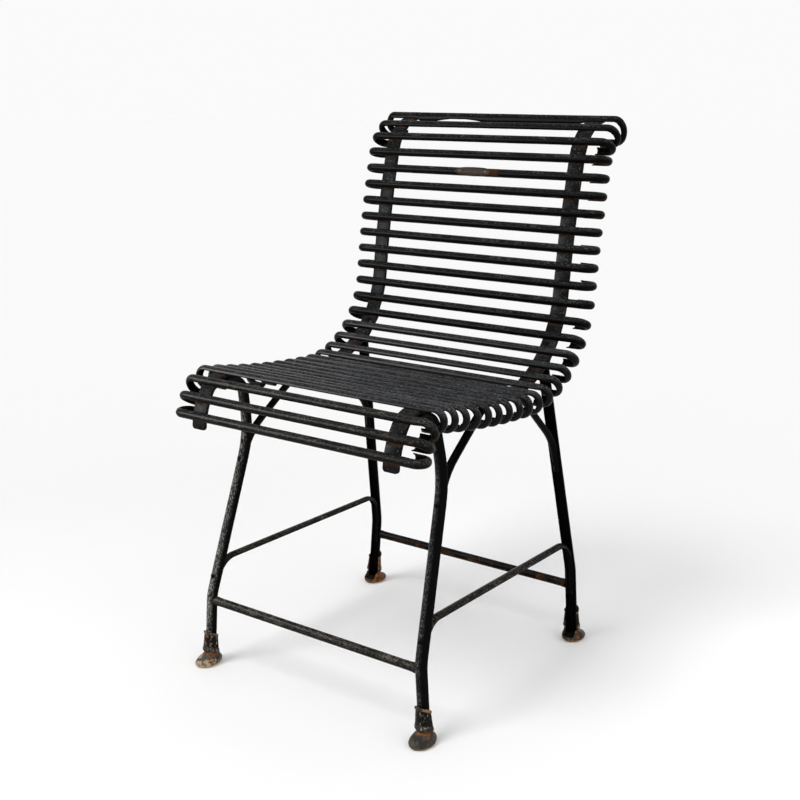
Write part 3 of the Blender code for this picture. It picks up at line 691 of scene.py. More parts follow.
def worn_paint(name, fade=1.0, flecks=0.5, chips=0.3, rust=0.1, under=0.3, ochre=0.2,
               tint_and_painted_light=(1.0, 1.0, 1.0), zone=(0.1, 0.8), toward=(0, 0, 1), run=(220, 220, 220),
               gloss=0.03, bands=False, stain=None):
    """Black paint gone grey on one side, with soft flecks, chips and rust, each by its share.

    Marks are drawn out along the bar by the run, their number to the metre along each axis. The
    zone is how far a surface must face a direction to turn grey: facing up, the grey is paint faded
    by the weather; facing the front left, as on the front legs, the grey and flecks, brightened by
    the tint, are a painted highlight of the side light. Rust gathers underneath, in bands under the
    slats and round a stain, where these are asked for.
    """
    look = finish()
    n = Nodes(name)
    up = n.facing()
    broad = n.noise(20, 4, 0.6)
    blotch = n.noise(70, 4, 0.6)
    along = n.stretched(run)
    streak = n.noise(1.1, 5, 0.7, along)
    # The tint colours the grey and the flecks. On the front legs it brightens them into a painted
    # highlight of the side light.
    faded, fleck = ([c * t for c, t in zip(shade, tint_and_painted_light)] for shade in (look.faded, look.fleck))

    # Facing up, this marks paint faded by the weather. Facing the front left, as on the front legs, it
    # marks a painted highlight.
    top = n.between(n.facing(toward), *zone)
    patchy = n.plus(n.times(n.between(n.noise(34, 3, 0.6), 0.42, 0.58), 0.6), 0.4)
    grey = n.times(n.between(streak, 0.30, 0.72), top, patchy, fade)
    colour = n.mix(grey, look.paint, faded)

    spot = n.plus(n.noise(1.5, 3, 0.6, along), n.times(broad, 0.35))
    spot = n.between(spot, 0.80 - 0.10 * flecks, 0.88 - 0.08 * flecks)
    colour = n.mix(n.times(spot, top, 0.75), colour, fleck)
    bright = n.plus(n.noise(2.6, 2, 0.5, along), n.times(blotch, 0.2))
    bright = n.between(bright, 0.84 - 0.06 * flecks, 0.88 - 0.06 * flecks)
    colour = n.mix(n.times(bright, top, 0.6), colour, toned(fleck, 2.4))

    flake = n.between(n.noise(0.42, 4, 0.62, along), 0.68 - 0.10 * chips, 0.75 - 0.10 * chips)
    flake = n.times(flake, n.between(blotch, 0.40, 0.58), n.between(up, -0.4, 0.3), 0.8)
    colour = n.mix(flake, colour, look.chip)

    rusty = n.noise(46, 6, 0.7)
    below = n.times(n.between(n.times(up, -1.0), 0.1, 0.9), under)
    corroded = n.between(n.plus(rusty, below), 0.80 - 0.30 * rust, 0.98 - 0.30 * rust)
    if bands:
        place = n.math("FRACT", n.attribute("along"))
        band = n.times(n.between(place, 0.60, 0.70), n.between(place, 0.88, 0.74),
                       n.between(blotch, 0.42, 0.56), 0.8)
        corroded = n.math("MAXIMUM", corroded, band)
    if stain:
        away = n.plus(n.across(stain), n.times(rusty, 0.012))
        corroded = n.math("MAXIMUM", corroded, n.between(away, 0.0155, 0.0125))
    orange = n.times(n.between(n.noise(150, 4, 0.65), 0.56, 0.68), ochre)
    colour = n.mix(corroded, colour, n.mix(orange, look.rust, look.ochre))

    dull = n.math("MAXIMUM", n.times(corroded, 0.9), n.times(flake, 0.5))
    rough = n.between(n.plus(dull, n.times(streak, 0.35)), 0.0, 1.0, (0.20, 0.85), "LINEAR")
    relief = n.plus(n.times(n.noise(1500, 3, 0.7), 0.35), n.times(streak, 0.3))
    n.bump(n.math("SUBTRACT", relief, n.times(flake, 0.3)), 0.35, 0.0006)
    return n.surface(colour, rough, gloss)


def cast_iron(name, tone, sole, orange, dark, worn):
    """Weathered casting: a bare patchy hoof, rust in its groove, and a chipped bead and cuff.

    Orange rust and dark paint lie over the hoof, and the cuff is worn, each by its share.
    """
    look = finish()
    n = Nodes(name)
    level = n.plus(n.attribute("level"), n.uneven(n.noise(160, 3, 0.6), 0.003))
    patches = n.noise(120, 5, 0.7)
    rust = n.mix(n.between(n.noise(190, 4, 0.6), 0.40, 0.62), look.rust, look.ochre)

    colour = n.mix(n.between(patches, 0.40, 0.64), tone, toned(tone, 0.5))
    rusty = n.between(n.plus(n.noise(90, 5, 0.65), orange * 0.35), 0.54, 0.66)
    colour = n.mix(n.times(rusty, 0.9), colour, rust)
    painted = n.between(n.plus(n.noise(70, 3, 0.55), dark * 0.3), 0.55, 0.63)
    colour = n.mix(n.times(painted, 0.85), colour, look.faded)
    colour = n.mix(n.between(level, *SOLE_OUT), colour, sole)

    groove = n.times(n.between(level, *GROOVE_IN), n.between(level, *GROOVE_OUT), 0.85)
    colour = n.mix(groove, colour, rust)
    chips = n.between(n.noise(260, 4, 0.65), 0.54, 0.62)
    bead = n.times(n.between(level, *BEAD_IN), n.between(level, *BEAD_OUT))
    colour = n.mix(bead, colour, n.mix(chips, look.faded, toned(look.chip, 2.2)))

    scratched = n.noise(1.0, 4, 0.65, n.stretched((330, 330, 130)))
    scratched = n.between(scratched, 0.64 - 0.10 * worn, 0.72 - 0.10 * worn)
    cuff = n.mix(scratched, look.paint, toned(look.chip, 1.6))
    cuff = n.mix(n.between(n.plus(patches, orange * 0.2), 0.60, 0.70), cuff, rust)
    rim = n.mix(n.between(patches, 0.42, 0.55), look.faded, RIM_TAN)
    cuff = n.mix(n.between(level, *RIM_IN), cuff, rim)
    colour = n.mix(n.between(level, *CUFF_IN), colour, cuff)

    relief = n.plus(n.times(n.noise(420, 5, 0.75), 0.6), n.times(n.noise(1300, 3, 0.7), 0.3))
    n.bump(relief, 0.5, 0.0008)
    return n.surface(colour, 0.5, 0.10)


def dull_metal(name, colour, ends=None):
    """Bare metal plate or rivet, pitted, and rusted beyond the ends if these are given."""
    look = finish()
    n = Nodes(name)
    tone = n.mix(n.between(n.noise(150, 4, 0.65), 0.42, 0.66), colour, toned(colour, 0.6))
    pits = n.times(n.between(n.noise(520, 3, 0.6), 0.60, 0.70), 0.35)
    tone = n.mix(pits, tone, PIT_TONE)
    if ends:
        away = n.plus(n.across(PLATE_SHIFT), n.uneven(n.noise(180, 3), 0.006))
        patchy = n.between(n.noise(210, 4, 0.6), 0.46, 0.66)
        rust = n.mix(patchy, look.rust, toned(look.ochre, 0.5))
        tone = n.mix(n.between(away, ends - 0.001, ends + 0.001), tone, rust)
    n.bump(n.noise(700, 4, 0.7), 0.3, 0.0004)
    return n.surface(tone, 0.5, 0.08)


# Operators


class GARDEN_OT_slats(bpy.types.Operator):
    """Draw the hooked slats and set one on each station of the straps"""

    bl_idname = "garden_chair.slats"
    bl_label = "Slats"

    def execute(self, context):
        s = sizes()
        run = 170, 420, 420
        back_look = {"fade": 0.85, "flecks": 0.85, "under": 0.35, "zone": (-0.05, 0.7), "run": run}
        backs = worn_paint("back_slat_paint", **back_look)
        stained = worn_paint("stained_slat_paint", **back_look, stain=PLATE_SHIFT + PLATE_STAIN_SHIFT)
        seats = worn_paint("seat_slat_paint", fade=0.6, flecks=1.35, chips=0.2, run=run,
                           tint_and_painted_light=(0.98, 1.0, 1.10), zone=(0.2, 0.9), gloss=0.09)
        fronts = worn_paint("front_slat_paint", fade=1.1, flecks=0.70, chips=0.9, rust=0.2, under=0.45,
                            run=run, tint_and_painted_light=(1.05, 1.0, 0.91), zone=(-0.4, 0.4), gloss=0.05)
        hollow = worn_paint("slat_hollow", fade=0.2, flecks=0.0, chips=0.0, rust=0.65, under=0.2,
                            ochre=0.25, run=run)
        rim = worn_paint("slat_rim", fade=0.5, flecks=0.3, chips=0.2, rust=0.5, under=0.35, run=run,
                         ochre=0.3)
        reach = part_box("slat_10")[1].x - s.hook_radius
        bend = s.hook_radius - s.slat_radius
        end = STRAP_CENTRE + s.strap_width / 2 + HOOK_CLEARANCE
        path = trace(Vector((0, 0)), 0, [(reach, 0, 14), (math.pi * bend, -180, 16), (reach - end, 0, 4)])
        half = draw_channel("slat", path, s.slat_radius, 1, [backs, hollow, rim])
        apply_modifier(half, "MIRROR", use_axis=(False, True, False), merge_threshold=0.0001)
        thicken(half, s.slat_wall)
        half.data.transform(Matrix.Rotation(-math.pi / 2, 4, "Z"))
        under = -(2 * GAP + s.strap_thickness)
        turned_over = Matrix.Rotation(math.pi, 4, "X")
        chance = random.Random(31)
        for number in range(1, SLAT_COUNT + 1):
            slat = copy_of(half, f"slat_bar_{number:02d}")
            self.weather(slat, number, chance, end, reach)
            tails = []
            for side in SIDES.values():
                place = Matrix.Translation((side * STRAP_CENTRE, 0, under)) @ turned_over
                tails.append(dome("tail", place, SLAT_TAIL, backs, 14))
            join([slat] + tails)
            if number == PLATE_SLAT:
                slat.data.materials[0] = stained
            elif number > LAST_BACK_SLAT:
                slat.data.materials[0] = seats if number < FIRST_FRONT_SLAT else fronts
            slat.data.transform(on_strap(number, 0.0, GAP))
            hammered(slat, 0.0003, 0.02, number)
            show(slat, f"slat_{number:02d}")
        bpy.data.objects.remove(half)
        return {"FINISHED"}

    def weather(self, slat, number, chance, end, reach):
        """Leans the hooks and leaves each one cut and closed a little unlike the next."""
        s = sizes()
        leans = {side: math.radians(table.get(number, 0))
                 for side, table in ((-1, HOOK_LEANS), (1, RIGHT_HOOK_LEANS))}
        stretch = HOOK_STRETCHES.get(number, 1.0)
        cut = {side: chance.uniform(-0.0015, 0.0030) for side in SIDES.values()}
        rag = {side: chance.uniform(-0.0020, 0.0020) for side in SIDES.values()}
        bow = chance.uniform(-0.0004, 0.0004)
        strap_edge = end - HOOK_CLEARANCE
        bend = s.hook_radius - s.slat_radius
        for vertex in slat.data.vertices:
            co = vertex.co
            side = 1 if co.x > 0 else -1
            if leans[side]:
                free = co.z < -0.5 * s.hook_radius
                angle = leans[side] * (1.0 if free else share_of(abs(co.x), strap_edge, reach))
                y, z = co.y, co.z
                co.y = y * math.cos(angle) - z * math.sin(angle)
                co.z = y * math.sin(angle) + z * math.cos(angle)
            if co.z < -0.9 * s.hook_radius and abs(co.x) < reach:
                share = (reach - abs(co.x)) / (reach - end)
                co.x += side * share * (cut[side] + rag[side] * co.y / s.slat_radius)
            if side > 0 and co.z < 0 and co.x > strap_edge - 0.001:
                co.z *= stretch
            if co.z > -0.5 * bend:
                self.lower_rim(co, number, 1 - co.z / s.slat_radius)
            middle = 1 - (co.x / reach) ** 2
            if middle > 0 and co.z > -0.5 * s.slat_radius:
                co.y += bow * middle

    def lower_rim(self, co, number, low):
        """Lowers the rims of the crest slat and one rim of another, between the straps."""
        between = share_of(abs(co.x), *RIM_ENDS)
        if number == 1:
            sliver = share_of(abs(co.x - CREST_SLIVER_PLACE), *CREST_SLIVER_ENDS)
            co.z = co.z * (1.3 - 0.5 * co.x) - CREST_RIM_DROP * between * (1 - sliver) * low
        elif number == LOW_RIM_SLAT and co.y < 0:
            co.z -= LOW_RIM_DROP * between * low


class GARDEN_OT_straps(bpy.types.Operator):
    """Draw the two flat straps from the drop under the seat to the rolled crest"""

    bl_idname = "garden_chair.straps"
    bl_label = "Straps"

    def execute(self, context):
        s = sizes()
        paint = worn_paint("strap_paint", fade=0.85, flecks=0.55, chips=0.1, rust=0.35, under=0.25,
                           ochre=0.6, tint_and_painted_light=(0.95, 1.0, 1.04), zone=(-0.5, 0.3), run=(260, 260, 260),
                           bands=True)
        moves = []
        for length, turn in strap_runs():
            moves.append((length, turn, max(1, math.ceil(abs(turn) / 5), round(length / 0.012))))
        path = trace(STRAP_START, STRAP_HEADING, [(length, 0, 1) for length in TIP_RUNS])
        start = path[-1][0] - path[0][0]
        moves[0] = (moves[0][0] - start.length, moves[0][1], moves[0][2])
        path += trace(*path[-1], moves + [(CREST_TAIL, 0, 2)])[1:]
        for word, side in SIDES.items():
            strap = self.bar(f"strap_bar_{word}", path)
            strap.data.materials.append(paint)
            apply_modifier(strap, "BEVEL", width=0.0009, segments=3, limit_method="ANGLE",
                           angle_limit=math.radians(40))
            for vertex in strap.data.vertices:
                vertex.co.x += side * STRAP_CENTRE
            hammered(strap, 0.0004, 0.02, 40 + side)
            self.measure(strap, path)
            smooth(strap)
            show(strap, f"strap_{word}")
        return {"FINISHED"}

    def bar(self, name, path):
        s = sizes()
        point, heading = path[0]
        deselect()
        bpy.ops.mesh.primitive_plane_add(size=1, location=(0, point.x, point.y),
                                         rotation=(math.radians(heading - 90), 0, 0))
        strap = bpy.context.object
        strap.name = strap.data.name = name
        strap.scale = (s.strap_width, s.strap_thickness, 1)
        settle(strap)
        inwards = left_of(heading) * (-s.strap_thickness / 2)
        bpy.ops.object.mode_set(mode="EDIT")
        bpy.ops.mesh.select_all(action="SELECT")
        bpy.ops.transform.translate(value=(0, inwards.x, inwards.y))
        width = 1
        for i, share in enumerate((*TIP_WIDTHS, 1)):
            bpy.ops.transform.resize(value=(share / width, 1, 1), center_override=(0, point.x, point.y))
            draw_out(path[i:] if share == 1 else path[i:i + 2])
            width = share
        bpy.ops.mesh.select_all(action="SELECT")
        bpy.ops.mesh.normals_make_consistent(inside=False)
        bpy.ops.object.mode_set(mode="OBJECT")
        return strap

    def measure(self, strap, path):
        """Stores how far along the strap each point is, in slat pitches from a slat."""
        along = strap.data.attributes.new("along", "FLOAT", "POINT")
        gone = [0.0]
        for (here, _), (there, _) in zip(path, path[1:]):
            gone.append(gone[-1] + (there - here).length)
        for i, vertex in enumerate(strap.data.vertices):
            flat = Vector((vertex.co.y, vertex.co.z))
            k = min(range(len(path)), key=lambda j: (path[j][0] - flat).length_squared)
            extra = (flat - path[k][0]).dot(direction(path[k][1]))
            along.data[i].value = 10 + (gone[k] + extra - LAST_SLAT_INSET) / sizes().slat_pitch


class GARDEN_OT_legs(bpy.types.Operator):
    """Draw the four half-round legs with the studs that hold them to the straps"""

    bl_idname = "garden_chair.legs"
    bl_label = "Legs"

    def execute(self, context):
        s = sizes()
        run = 380, 380, 150
        # The front legs turn grey and flecked on the side facing the front left light. This is a painted
        # highlight: its tint makes it brightest on the front left leg and weaker on the front right leg.
        front_lit_look = {"chips": 0.2, "under": 0.2, "toward": (-0.85, -0.45, 0.2), "run": run}
        rear = worn_paint("rear_leg_paint", fade=0.2, flecks=0.3, chips=0.0, under=0.2, run=run,
                          gloss=0.015)
        paints = {"front_left": worn_paint("front_left_leg_lit_paint", flecks=1.0, tint_and_painted_light=(5.2, 5.0, 4.7),
                                           zone=(-0.45, 0.65), **front_lit_look),
                  "front_right": worn_paint("front_right_leg_half_lit_paint", flecks=0.9, tint_and_painted_light=(1.9, 1.9, 1.9),
                                            zone=(0.0, 0.7), **front_lit_look),
                  "rear_left": rear, "rear_right": rear}
        hollow = worn_paint("leg_hollow", fade=0.2, flecks=0.0, chips=0.0, rust=0.25, under=0.2, run=run,
                            ochre=0.3, gloss=0.01)
        rim = worn_paint("leg_rim", fade=0.5, flecks=0.3, chips=0.1, rust=0.25, under=0.2, run=run,
                         gloss=0.02)
        for word, front in ENDS.items():
            station = FRONT_LEG_STATION if front else REAR_LEG_STATION
            paint, right_paint = paints[f"{word}_left"], paints[f"{word}_right"]
            leg = draw_channel("leg", leg_path(front), s.leg_radius, 1 if front else -1,
                               [paint, hollow, rim])
            thicken(leg, s.leg_wall)
            hammered(leg, 0.0004, 0.03, 50 + front)
            fix_pair(leg, f"{word}_leg", station, paint, right_paint)
        return {"FINISHED"}


class GARDEN_OT_braces(bpy.types.Operator):
    """Draw the four braces that fork from the legs to the seat"""

    bl_idname = "garden_chair.braces"
    bl_label = "Braces"

    def execute(self, context):
        s = sizes()
        outer = worn_paint("brace_paint", fade=0.7, flecks=0.4, chips=0.1, under=0.2,
                           tint_and_painted_light=(0.95, 1.0, 1.08), zone=(-0.2, 0.6))
        hollow = worn_paint("brace_hollow", fade=0.3, flecks=0.1, chips=0.1, rust=0.55, under=0.2)
        for word, front in ENDS.items():
            station = (FRONT_BRACE if front else REAR_BRACE)[1]
            brace = draw_channel("brace", brace_path(front), s.bar_radius, -1 if front else 1,
                                 [outer, hollow, hollow])
            thicken(brace, s.bar_wall)
            hammered(brace, 0.0003, 0.025, 60 + front)
            fix_pair(brace, f"{word}_brace", station, outer, outer)
        return {"FINISHED"}


def fix_pair(bar, node, station, paint, right_paint):
    """Splays a leg or brace to each side and gives it its stud's head on the strap."""
    point = slat_station(station)[0]
    for word, side in SIDES.items():
        piece = copy_of(bar, f"{node}_bar_{word}")
        splay(piece, side)
        place = on_strap(station, side * splay_at(point.y), GAP)
        join([piece, dome("stud_head", place, STUD_HEAD, paint)])
        if side > 0:
            piece.data.materials[0] = right_paint
        show(piece, f"{node}_{word}")
    bpy.data.objects.remove(bar)


class GARDEN_OT_stretchers(bpy.types.Operator):
    """Draw the side stretchers and the front and rear cross stretchers"""

    bl_idname = "garden_chair.stretchers"
    bl_label = "Stretchers"

    def execute(self, context):
        s = sizes()
        run = 170, 260, 380
        outer = worn_paint("stretcher_paint", fade=0.7, flecks=0.9, chips=1.0, rust=0.55, ochre=0.8,
                           tint_and_painted_light=(1.15, 1.0, 0.80), zone=(-0.2, 0.6), run=run, gloss=0.05)
        chipped = worn_paint("chipped_stretcher_paint", fade=0.9, flecks=1.1, chips=1.3, rust=0.2,
                             under=0.55, ochre=0.7, tint_and_painted_light=(1.25, 1.15, 0.95), zone=(-0.5, 0.4), run=run,
                             gloss=0.05)
        hollow = worn_paint("stretcher_hollow", fade=0.3, flecks=0.1, chips=0.1, rust=0.65, under=0.2)
        rusted = worn_paint("rear_stretcher_rust", flecks=0.2, rust=1.1, ochre=0.35)
        bar = draw_channel("side", side_stretcher_path(), s.bar_radius, 1, [outer, hollow, hollow])
        thicken(bar, s.bar_wall)
        hammered(bar, 0.0003, 0.025, 70)
        for word, side in SIDES.items():
            piece = copy_of(bar, f"side_stretcher_bar_{word}")
            splay(piece, side)
            show(piece, f"side_stretcher_{word}")
        bpy.data.objects.remove(bar)
        self.cross("front_stretcher", True, [chipped, hollow, rusted], "worn_black_paint", 95)
        self.cross("rear_stretcher", False, [rusted, hollow, rusted], "rusted_paint", 94)
        return {"FINISHED"}

    def cross(self, node, front, materials, slot, seed):
        """Straight half-round bar between two legs, swelling at its ends."""
        s = sizes()
        low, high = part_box(node)
        height = (low.z + high.z) / 2
        reach = splay_at(height) - s.leg_radius - GAP
        half = trace(Vector((-reach, 0)), 0, [(0.004, 0, 1), (0.006, 0, 1), (reach - 0.010, 0, 8)])
        path = half + [(Vector((-point.x, point.y)), heading) for point, heading in reversed(half[:-1])]
        swell, neck = 1.12, 1.06
        growths = [swell, neck] + [1.0] * (len(path) - 4) + [neck, swell]
        bar = draw_channel("cross", path, s.cross_radius * swell, 1, materials, growths)
        for end in (-1, 1):
            bpy.ops.object.mode_set(mode="EDIT")
            choose(lambda co: end * co.y > reach - 0.00001)
            bpy.ops.mesh.edge_face_add()
            bpy.ops.object.mode_set(mode="OBJECT")
        thicken(bar, s.bar_wall)
        bar.name = bar.data.name = f"{node}_bar"
        bar.data.transform(Matrix.Rotation(-math.pi / 2, 4, "Z"))
        place = Matrix.Translation((0, high.y, height))
        bar.data.transform(place @ Matrix.Rotation(math.pi / 2, 4, "X"))
        hammered(bar, 0.0004, 0.025, seed)
        self.fit_ends(bar, foot_depth(front), reach)
        show(bar, node)

    def fit_ends(self, bar, depth, reach):
        """Draws the bar's ends out or in to the round of the legs."""
        radius = sizes().leg_radius
        for vertex in bar.data.vertices:
            co = vertex.co
            share = min(1.0, (abs(co.x) - reach + 0.005) / 0.005)
            if share > 0:
                out = min(abs(co.y - depth), radius - 0.0005)
                side = splay_at(co.z) - math.sqrt(radius ** 2 - out ** 2) - GAP
                co.x += math.copysign(share * (side - reach), co.x)


class GARDEN_OT_hooves(bpy.types.Operator):
    """Cast the four hooves with their ankle bead and open cuff"""

    bl_idname = "garden_chair.hooves"
    bl_label = "Hooves"

    # Height, half width, half length and shift to the toe
    sections = [(0.0000, 0.0143, 0.0200, 0.0075), (0.0012, 0.0157, 0.0218, 0.0075),
                (0.0030, 0.0170, 0.0232, 0.0073), (0.0055, 0.0177, 0.0238, 0.0069),
                (0.0085, 0.0173, 0.0226, 0.0056), (0.0115, 0.0158, 0.0190, 0.0034),
                (0.0145, 0.0138, 0.0152, 0.0014), (0.0168, 0.0124, 0.0126, 0.0004),
                (0.0186, 0.0120, 0.0120, 0.0000), (0.0198, 0.0130, 0.0130, 0.0000),
                (0.0220, 0.0147, 0.0147, 0.0000), (0.0240, 0.0149, 0.0149, 0.0000),
                (0.0262, 0.0145, 0.0145, 0.0000), (0.0282, 0.0136, 0.0136, 0.0000),
                (0.0340, 0.0129, 0.0129, 0.0004), (0.0420, 0.0120, 0.0120, 0.0009),
                (0.0460, 0.0114, 0.0114, 0.0012), (0.0472, 0.0125, 0.0125, 0.0012),
                (0.0488, 0.0128, 0.0128, 0.0012), (0.0500, 0.0123, 0.0123, 0.0012)]
    ankle = 0.0190
    cuff_rise = 0.0070
    cuff_front = 0.013

    def execute(self, context):
        orange = finish().ochre
        tones = {"front_left": (CREAM, CREAM, 0.15, 0.25, 0.9),
                 "front_right": (OLIVE, TAN, 0.0, 0.25, 0.8),
                 "rear_left": (orange, TAN, 0.8, -0.2, 1.0),
                 "rear_right": (OLIVE, TAN, 0.35, 0.2, 0.5)}
        socket = worn_paint("socket_rust", flecks=0, chips=0.1, rust=0.9, under=0, ochre=0.7)
        for word, front in ENDS.items():
            for side_word, side in SIDES.items():
                corner = f"{word}_{side_word}"
                hoof = self.casting(f"{word}_hoof_casting_{side_word}", front, side)
                hoof.data.materials.append(cast_iron(f"hoof_{corner}", *tones[corner]))
                hoof.data.materials.append(socket)
                self.measure(hoof, front, side)
                hammered(hoof, 0.0003, 0.006, 90 + 2 * side + front)
                smooth(hoof, 50)
                show(hoof, f"{word}_hoof_{side_word}")
        return {"FINISHED"}

    def casting(self, name, front, side):
        toe = -1 if front else 1
        depth = foot_depth(front)
        deselect()
        bpy.ops.mesh.primitive_circle_add(vertices=48, radius=1, fill_type="NGON")
        hoof = bpy.context.object
        hoof.name = hoof.data.name = name
        bpy.ops.object.mode_set(mode="EDIT")
        bpy.ops.mesh.select_all(action="SELECT")
        height, wide, long, shift = self.sections[0]
        bpy.ops.transform.resize(value=(wide, long, 1), center_override=(0, 0, 0))
        bpy.ops.transform.translate(value=(0, toe * shift, 0))
        for above, next_wide, next_long, next_shift in self.sections[1:]:
            bpy.ops.mesh.extrude_region_move(
                TRANSFORM_OT_translate={"value": (0, toe * (next_shift - shift), above - height)})
            bpy.ops.transform.resize(value=(next_wide / wide, next_long / long, 1),
                                     center_override=(0, toe * next_shift, above))
            height, wide, long, shift = above, next_wide, next_long, next_shift
        bpy.ops.mesh.select_all(action="SELECT")
        bpy.ops.mesh.normals_make_consistent(inside=False)
        bpy.ops.object.mode_set(mode="OBJECT")
        top = self.sections[-1][0]
        for vertex in hoof.data.vertices:
            co = vertex.co
            rise = self.cuff_rise * share_of(toe * co.y, 0, self.cuff_front)
            rise *= share_of(co.z, self.ankle, top)
            co.x += side * splay_at(co.z)
            co.y += depth
            co.z += rise
        self.open_cuff(hoof, side, depth, toe, top)
        apply_modifier(hoof, "BEVEL", width=0.0005, segments=2, limit_method="ANGLE",
                       angle_limit=math.radians(55))
        return hoof

    def measure(self, hoof, front, side):
        """Stores each point's height in the level cuff, and gives the socket its own finish."""
        toe = -1 if front else 1
        depth = foot_depth(front)
        top = self.sections[-1][0]
        level = hoof.data.attributes.new("level", "FLOAT", "POINT")
        for i, vertex in enumerate(hoof.data.vertices):
            forward = share_of(toe * (vertex.co.y - depth), 0, self.cuff_front)
            rise = self.cuff_rise * forward / (top - self.ankle)
            z = vertex.co.z
            level.data[i].value = z if z < self.ankle else (z + rise * self.ankle) / (1 + rise)
        for face in hoof.data.polygons:
            x, y, z = face.center
            out = math.hypot(x - side * splay_at(z), y - depth)
            inside = out < sizes().leg_radius + 3 * GAP and toe * (y - depth) < 0.012
            if inside and z > SOCKET_FLOOR - 0.0005:
                face.material_index = 1

    def open_cuff(self, hoof, side, depth, toe, top):
        """Cuts the leg's socket, open towards the chair's middle."""
        fit = sizes().leg_radius + 2.5 * GAP
        low = splay_at(SOCKET_FLOOR)
        slope = (low - splay_at(top + 0.05)) / (top + 0.05 - SOCKET_FLOOR)
        deselect()
        bpy.ops.mesh.primitive_cylinder_add(vertices=32, radius=fit, depth=0.12,
                                            location=(0, 0, 0.06))
        socket = bpy.context.object
        bpy.ops.object.mode_set(mode="EDIT")
        choose(lambda co: toe * co.y < -fit * 0.05)
        bpy.ops.transform.translate(value=(0, -toe * 0.05, 0))
        bpy.ops.object.mode_set(mode="OBJECT")
        settle(socket)
        for vertex in socket.data.vertices:
            vertex.co.x += side * (low - vertex.co.z * slope)
            vertex.co.y += depth
            vertex.co.z += SOCKET_FLOOR
        deselect()
        place = side * low, depth - toe * 0.051, self.ankle + 0.05
        bpy.ops.mesh.primitive_cube_add(size=0.1, location=place)
        relief = bpy.context.object
        settle(relief)
        for cutter in (socket, relief):
            apply_modifier(hoof, "BOOLEAN", operation="DIFFERENCE", solver="EXACT", object=cutter)
            bpy.data.objects.remove(cutter)


class GARDEN_OT_plate(bpy.types.Operator):
    """Bend the blank oval plate over its slat and fix it with two rivets"""

    bl_idname = "garden_chair.plate"
    bl_label = "Oval plate"

    def execute(self, context):
        s = sizes()
        metal = dull_metal("plate_metal", finish().plate, PLATE_RUST_START)
        light = dull_metal("plate_rivet_metal", RIVET_METAL)
        deselect()
        bpy.ops.mesh.primitive_circle_add(vertices=48, radius=1, fill_type="NGON")
        plate = bpy.context.object
        plate.name = plate.data.name = "oval_plate_metal"
        bpy.ops.object.mode_set(mode="EDIT")
        bpy.ops.mesh.select_all(action="SELECT")
        last = 1.0
        for ring in PLATE_RINGS:
            bpy.ops.mesh.inset(thickness=0.0)
            bpy.ops.transform.resize(value=(ring / last,) * 3, center_override=(0, 0, 0))
            last = ring
        bpy.ops.mesh.inset(thickness=0.0)
        bpy.ops.mesh.merge(type="CENTER")
        bpy.ops.object.mode_set(mode="OBJECT")
        inner = s.slat_radius + GAP
        for vertex in plate.data.vertices:
            x = PLATE_SHIFT + PLATE_HALF_LENGTH * vertex.co.x
            angle = math.radians(PLATE_HALF_CURL) * vertex.co.y
            vertex.co = x, inner * math.sin(angle), inner * math.cos(angle)
        apply_modifier(plate, "SOLIDIFY", thickness=PLATE_THICKNESS, offset=1)
        apply_modifier(plate, "BEVEL", width=0.0003, segments=2, limit_method="ANGLE",
                       angle_limit=math.radians(50))
        plate.data.materials.append(metal)
        smooth(plate)
        place = on_strap(PLATE_SLAT, 0.0, GAP)
        plate.data.transform(place)
        show(plate, "oval_plate")
        for word, side in SIDES.items():
            x = PLATE_SHIFT + side * PLATE_RIVET_SHIFT
            spot = place @ Matrix.Translation((x, 0, inner + PLATE_THICKNESS))
            head = dome(f"plate_rivet_head_{word}", spot, PLATE_RIVET, light)
            show(head, f"plate_rivet_{word}")
        return {"FINISHED"}


class GARDEN_OT_rivets(bpy.types.Operator):
    """Round off the rivets through the legs"""

    bl_idname = "garden_chair.rivets"
    bl_label = "Rivets"

    def execute(self, context):
        metal = worn_paint("rivet_paint", flecks=0.6, chips=0.5, rust=0.4, under=0.2, ochre=0.3)
        for kind, tail_size in RIVET_TAILS.items():
            for word, front in ENDS.items():
                for side_word in SIDES:
                    self.rivet(f"{kind}_{word}_{side_word}", front, metal, tail_size)
        return {"FINISHED"}

    def rivet(self, node, front, metal, tail_size):
        """Head outside the leg and tail inside it, at the ends of the node's own axis."""
        points = [v.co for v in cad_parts[node].data.vertices]
        centre = sum(points, Vector()) / len(points)
        bulge = -1 if front else 1
        outer = max(points, key=lambda p: bulge * p.y)
        inner = min(points, key=lambda p: bulge * p.y)
        span = sorted(points, key=lambda p: bulge * p.y)
        count = max(3, len(points) // 12)
        far = sum(span[-count:], Vector()) / count
        near = sum(span[:count], Vector()) / count
        axis = (far - near).normalized()
        out = Vector((axis.y, axis.z))
        reach = (outer - centre).dot(axis)
        back = (inner - centre).dot(axis)
        head_place = standing(centre + axis * (reach - RIVET_HEAD[1]), out)
        tail_place = standing(centre + axis * (back + tail_size[1]), -out)
        head = dome(f"{node}_head", head_place, RIVET_HEAD, metal)
        tail = dome("tail", tail_place, tail_size, metal)
        deselect()
        length = reach - back - RIVET_HEAD[1] - tail_size[1] + 2 * RIVET_OVERLAP
        bpy.ops.mesh.primitive_cylinder_add(vertices=12, radius=RIVET_SHANK_RADIUS, depth=length)
        shank = bpy.context.object
        shank.data.transform(standing(centre + axis * (reach + back) / 2, out))
        shank.data.materials.append(metal)
        join([head, tail, shank])
        show(head, node)


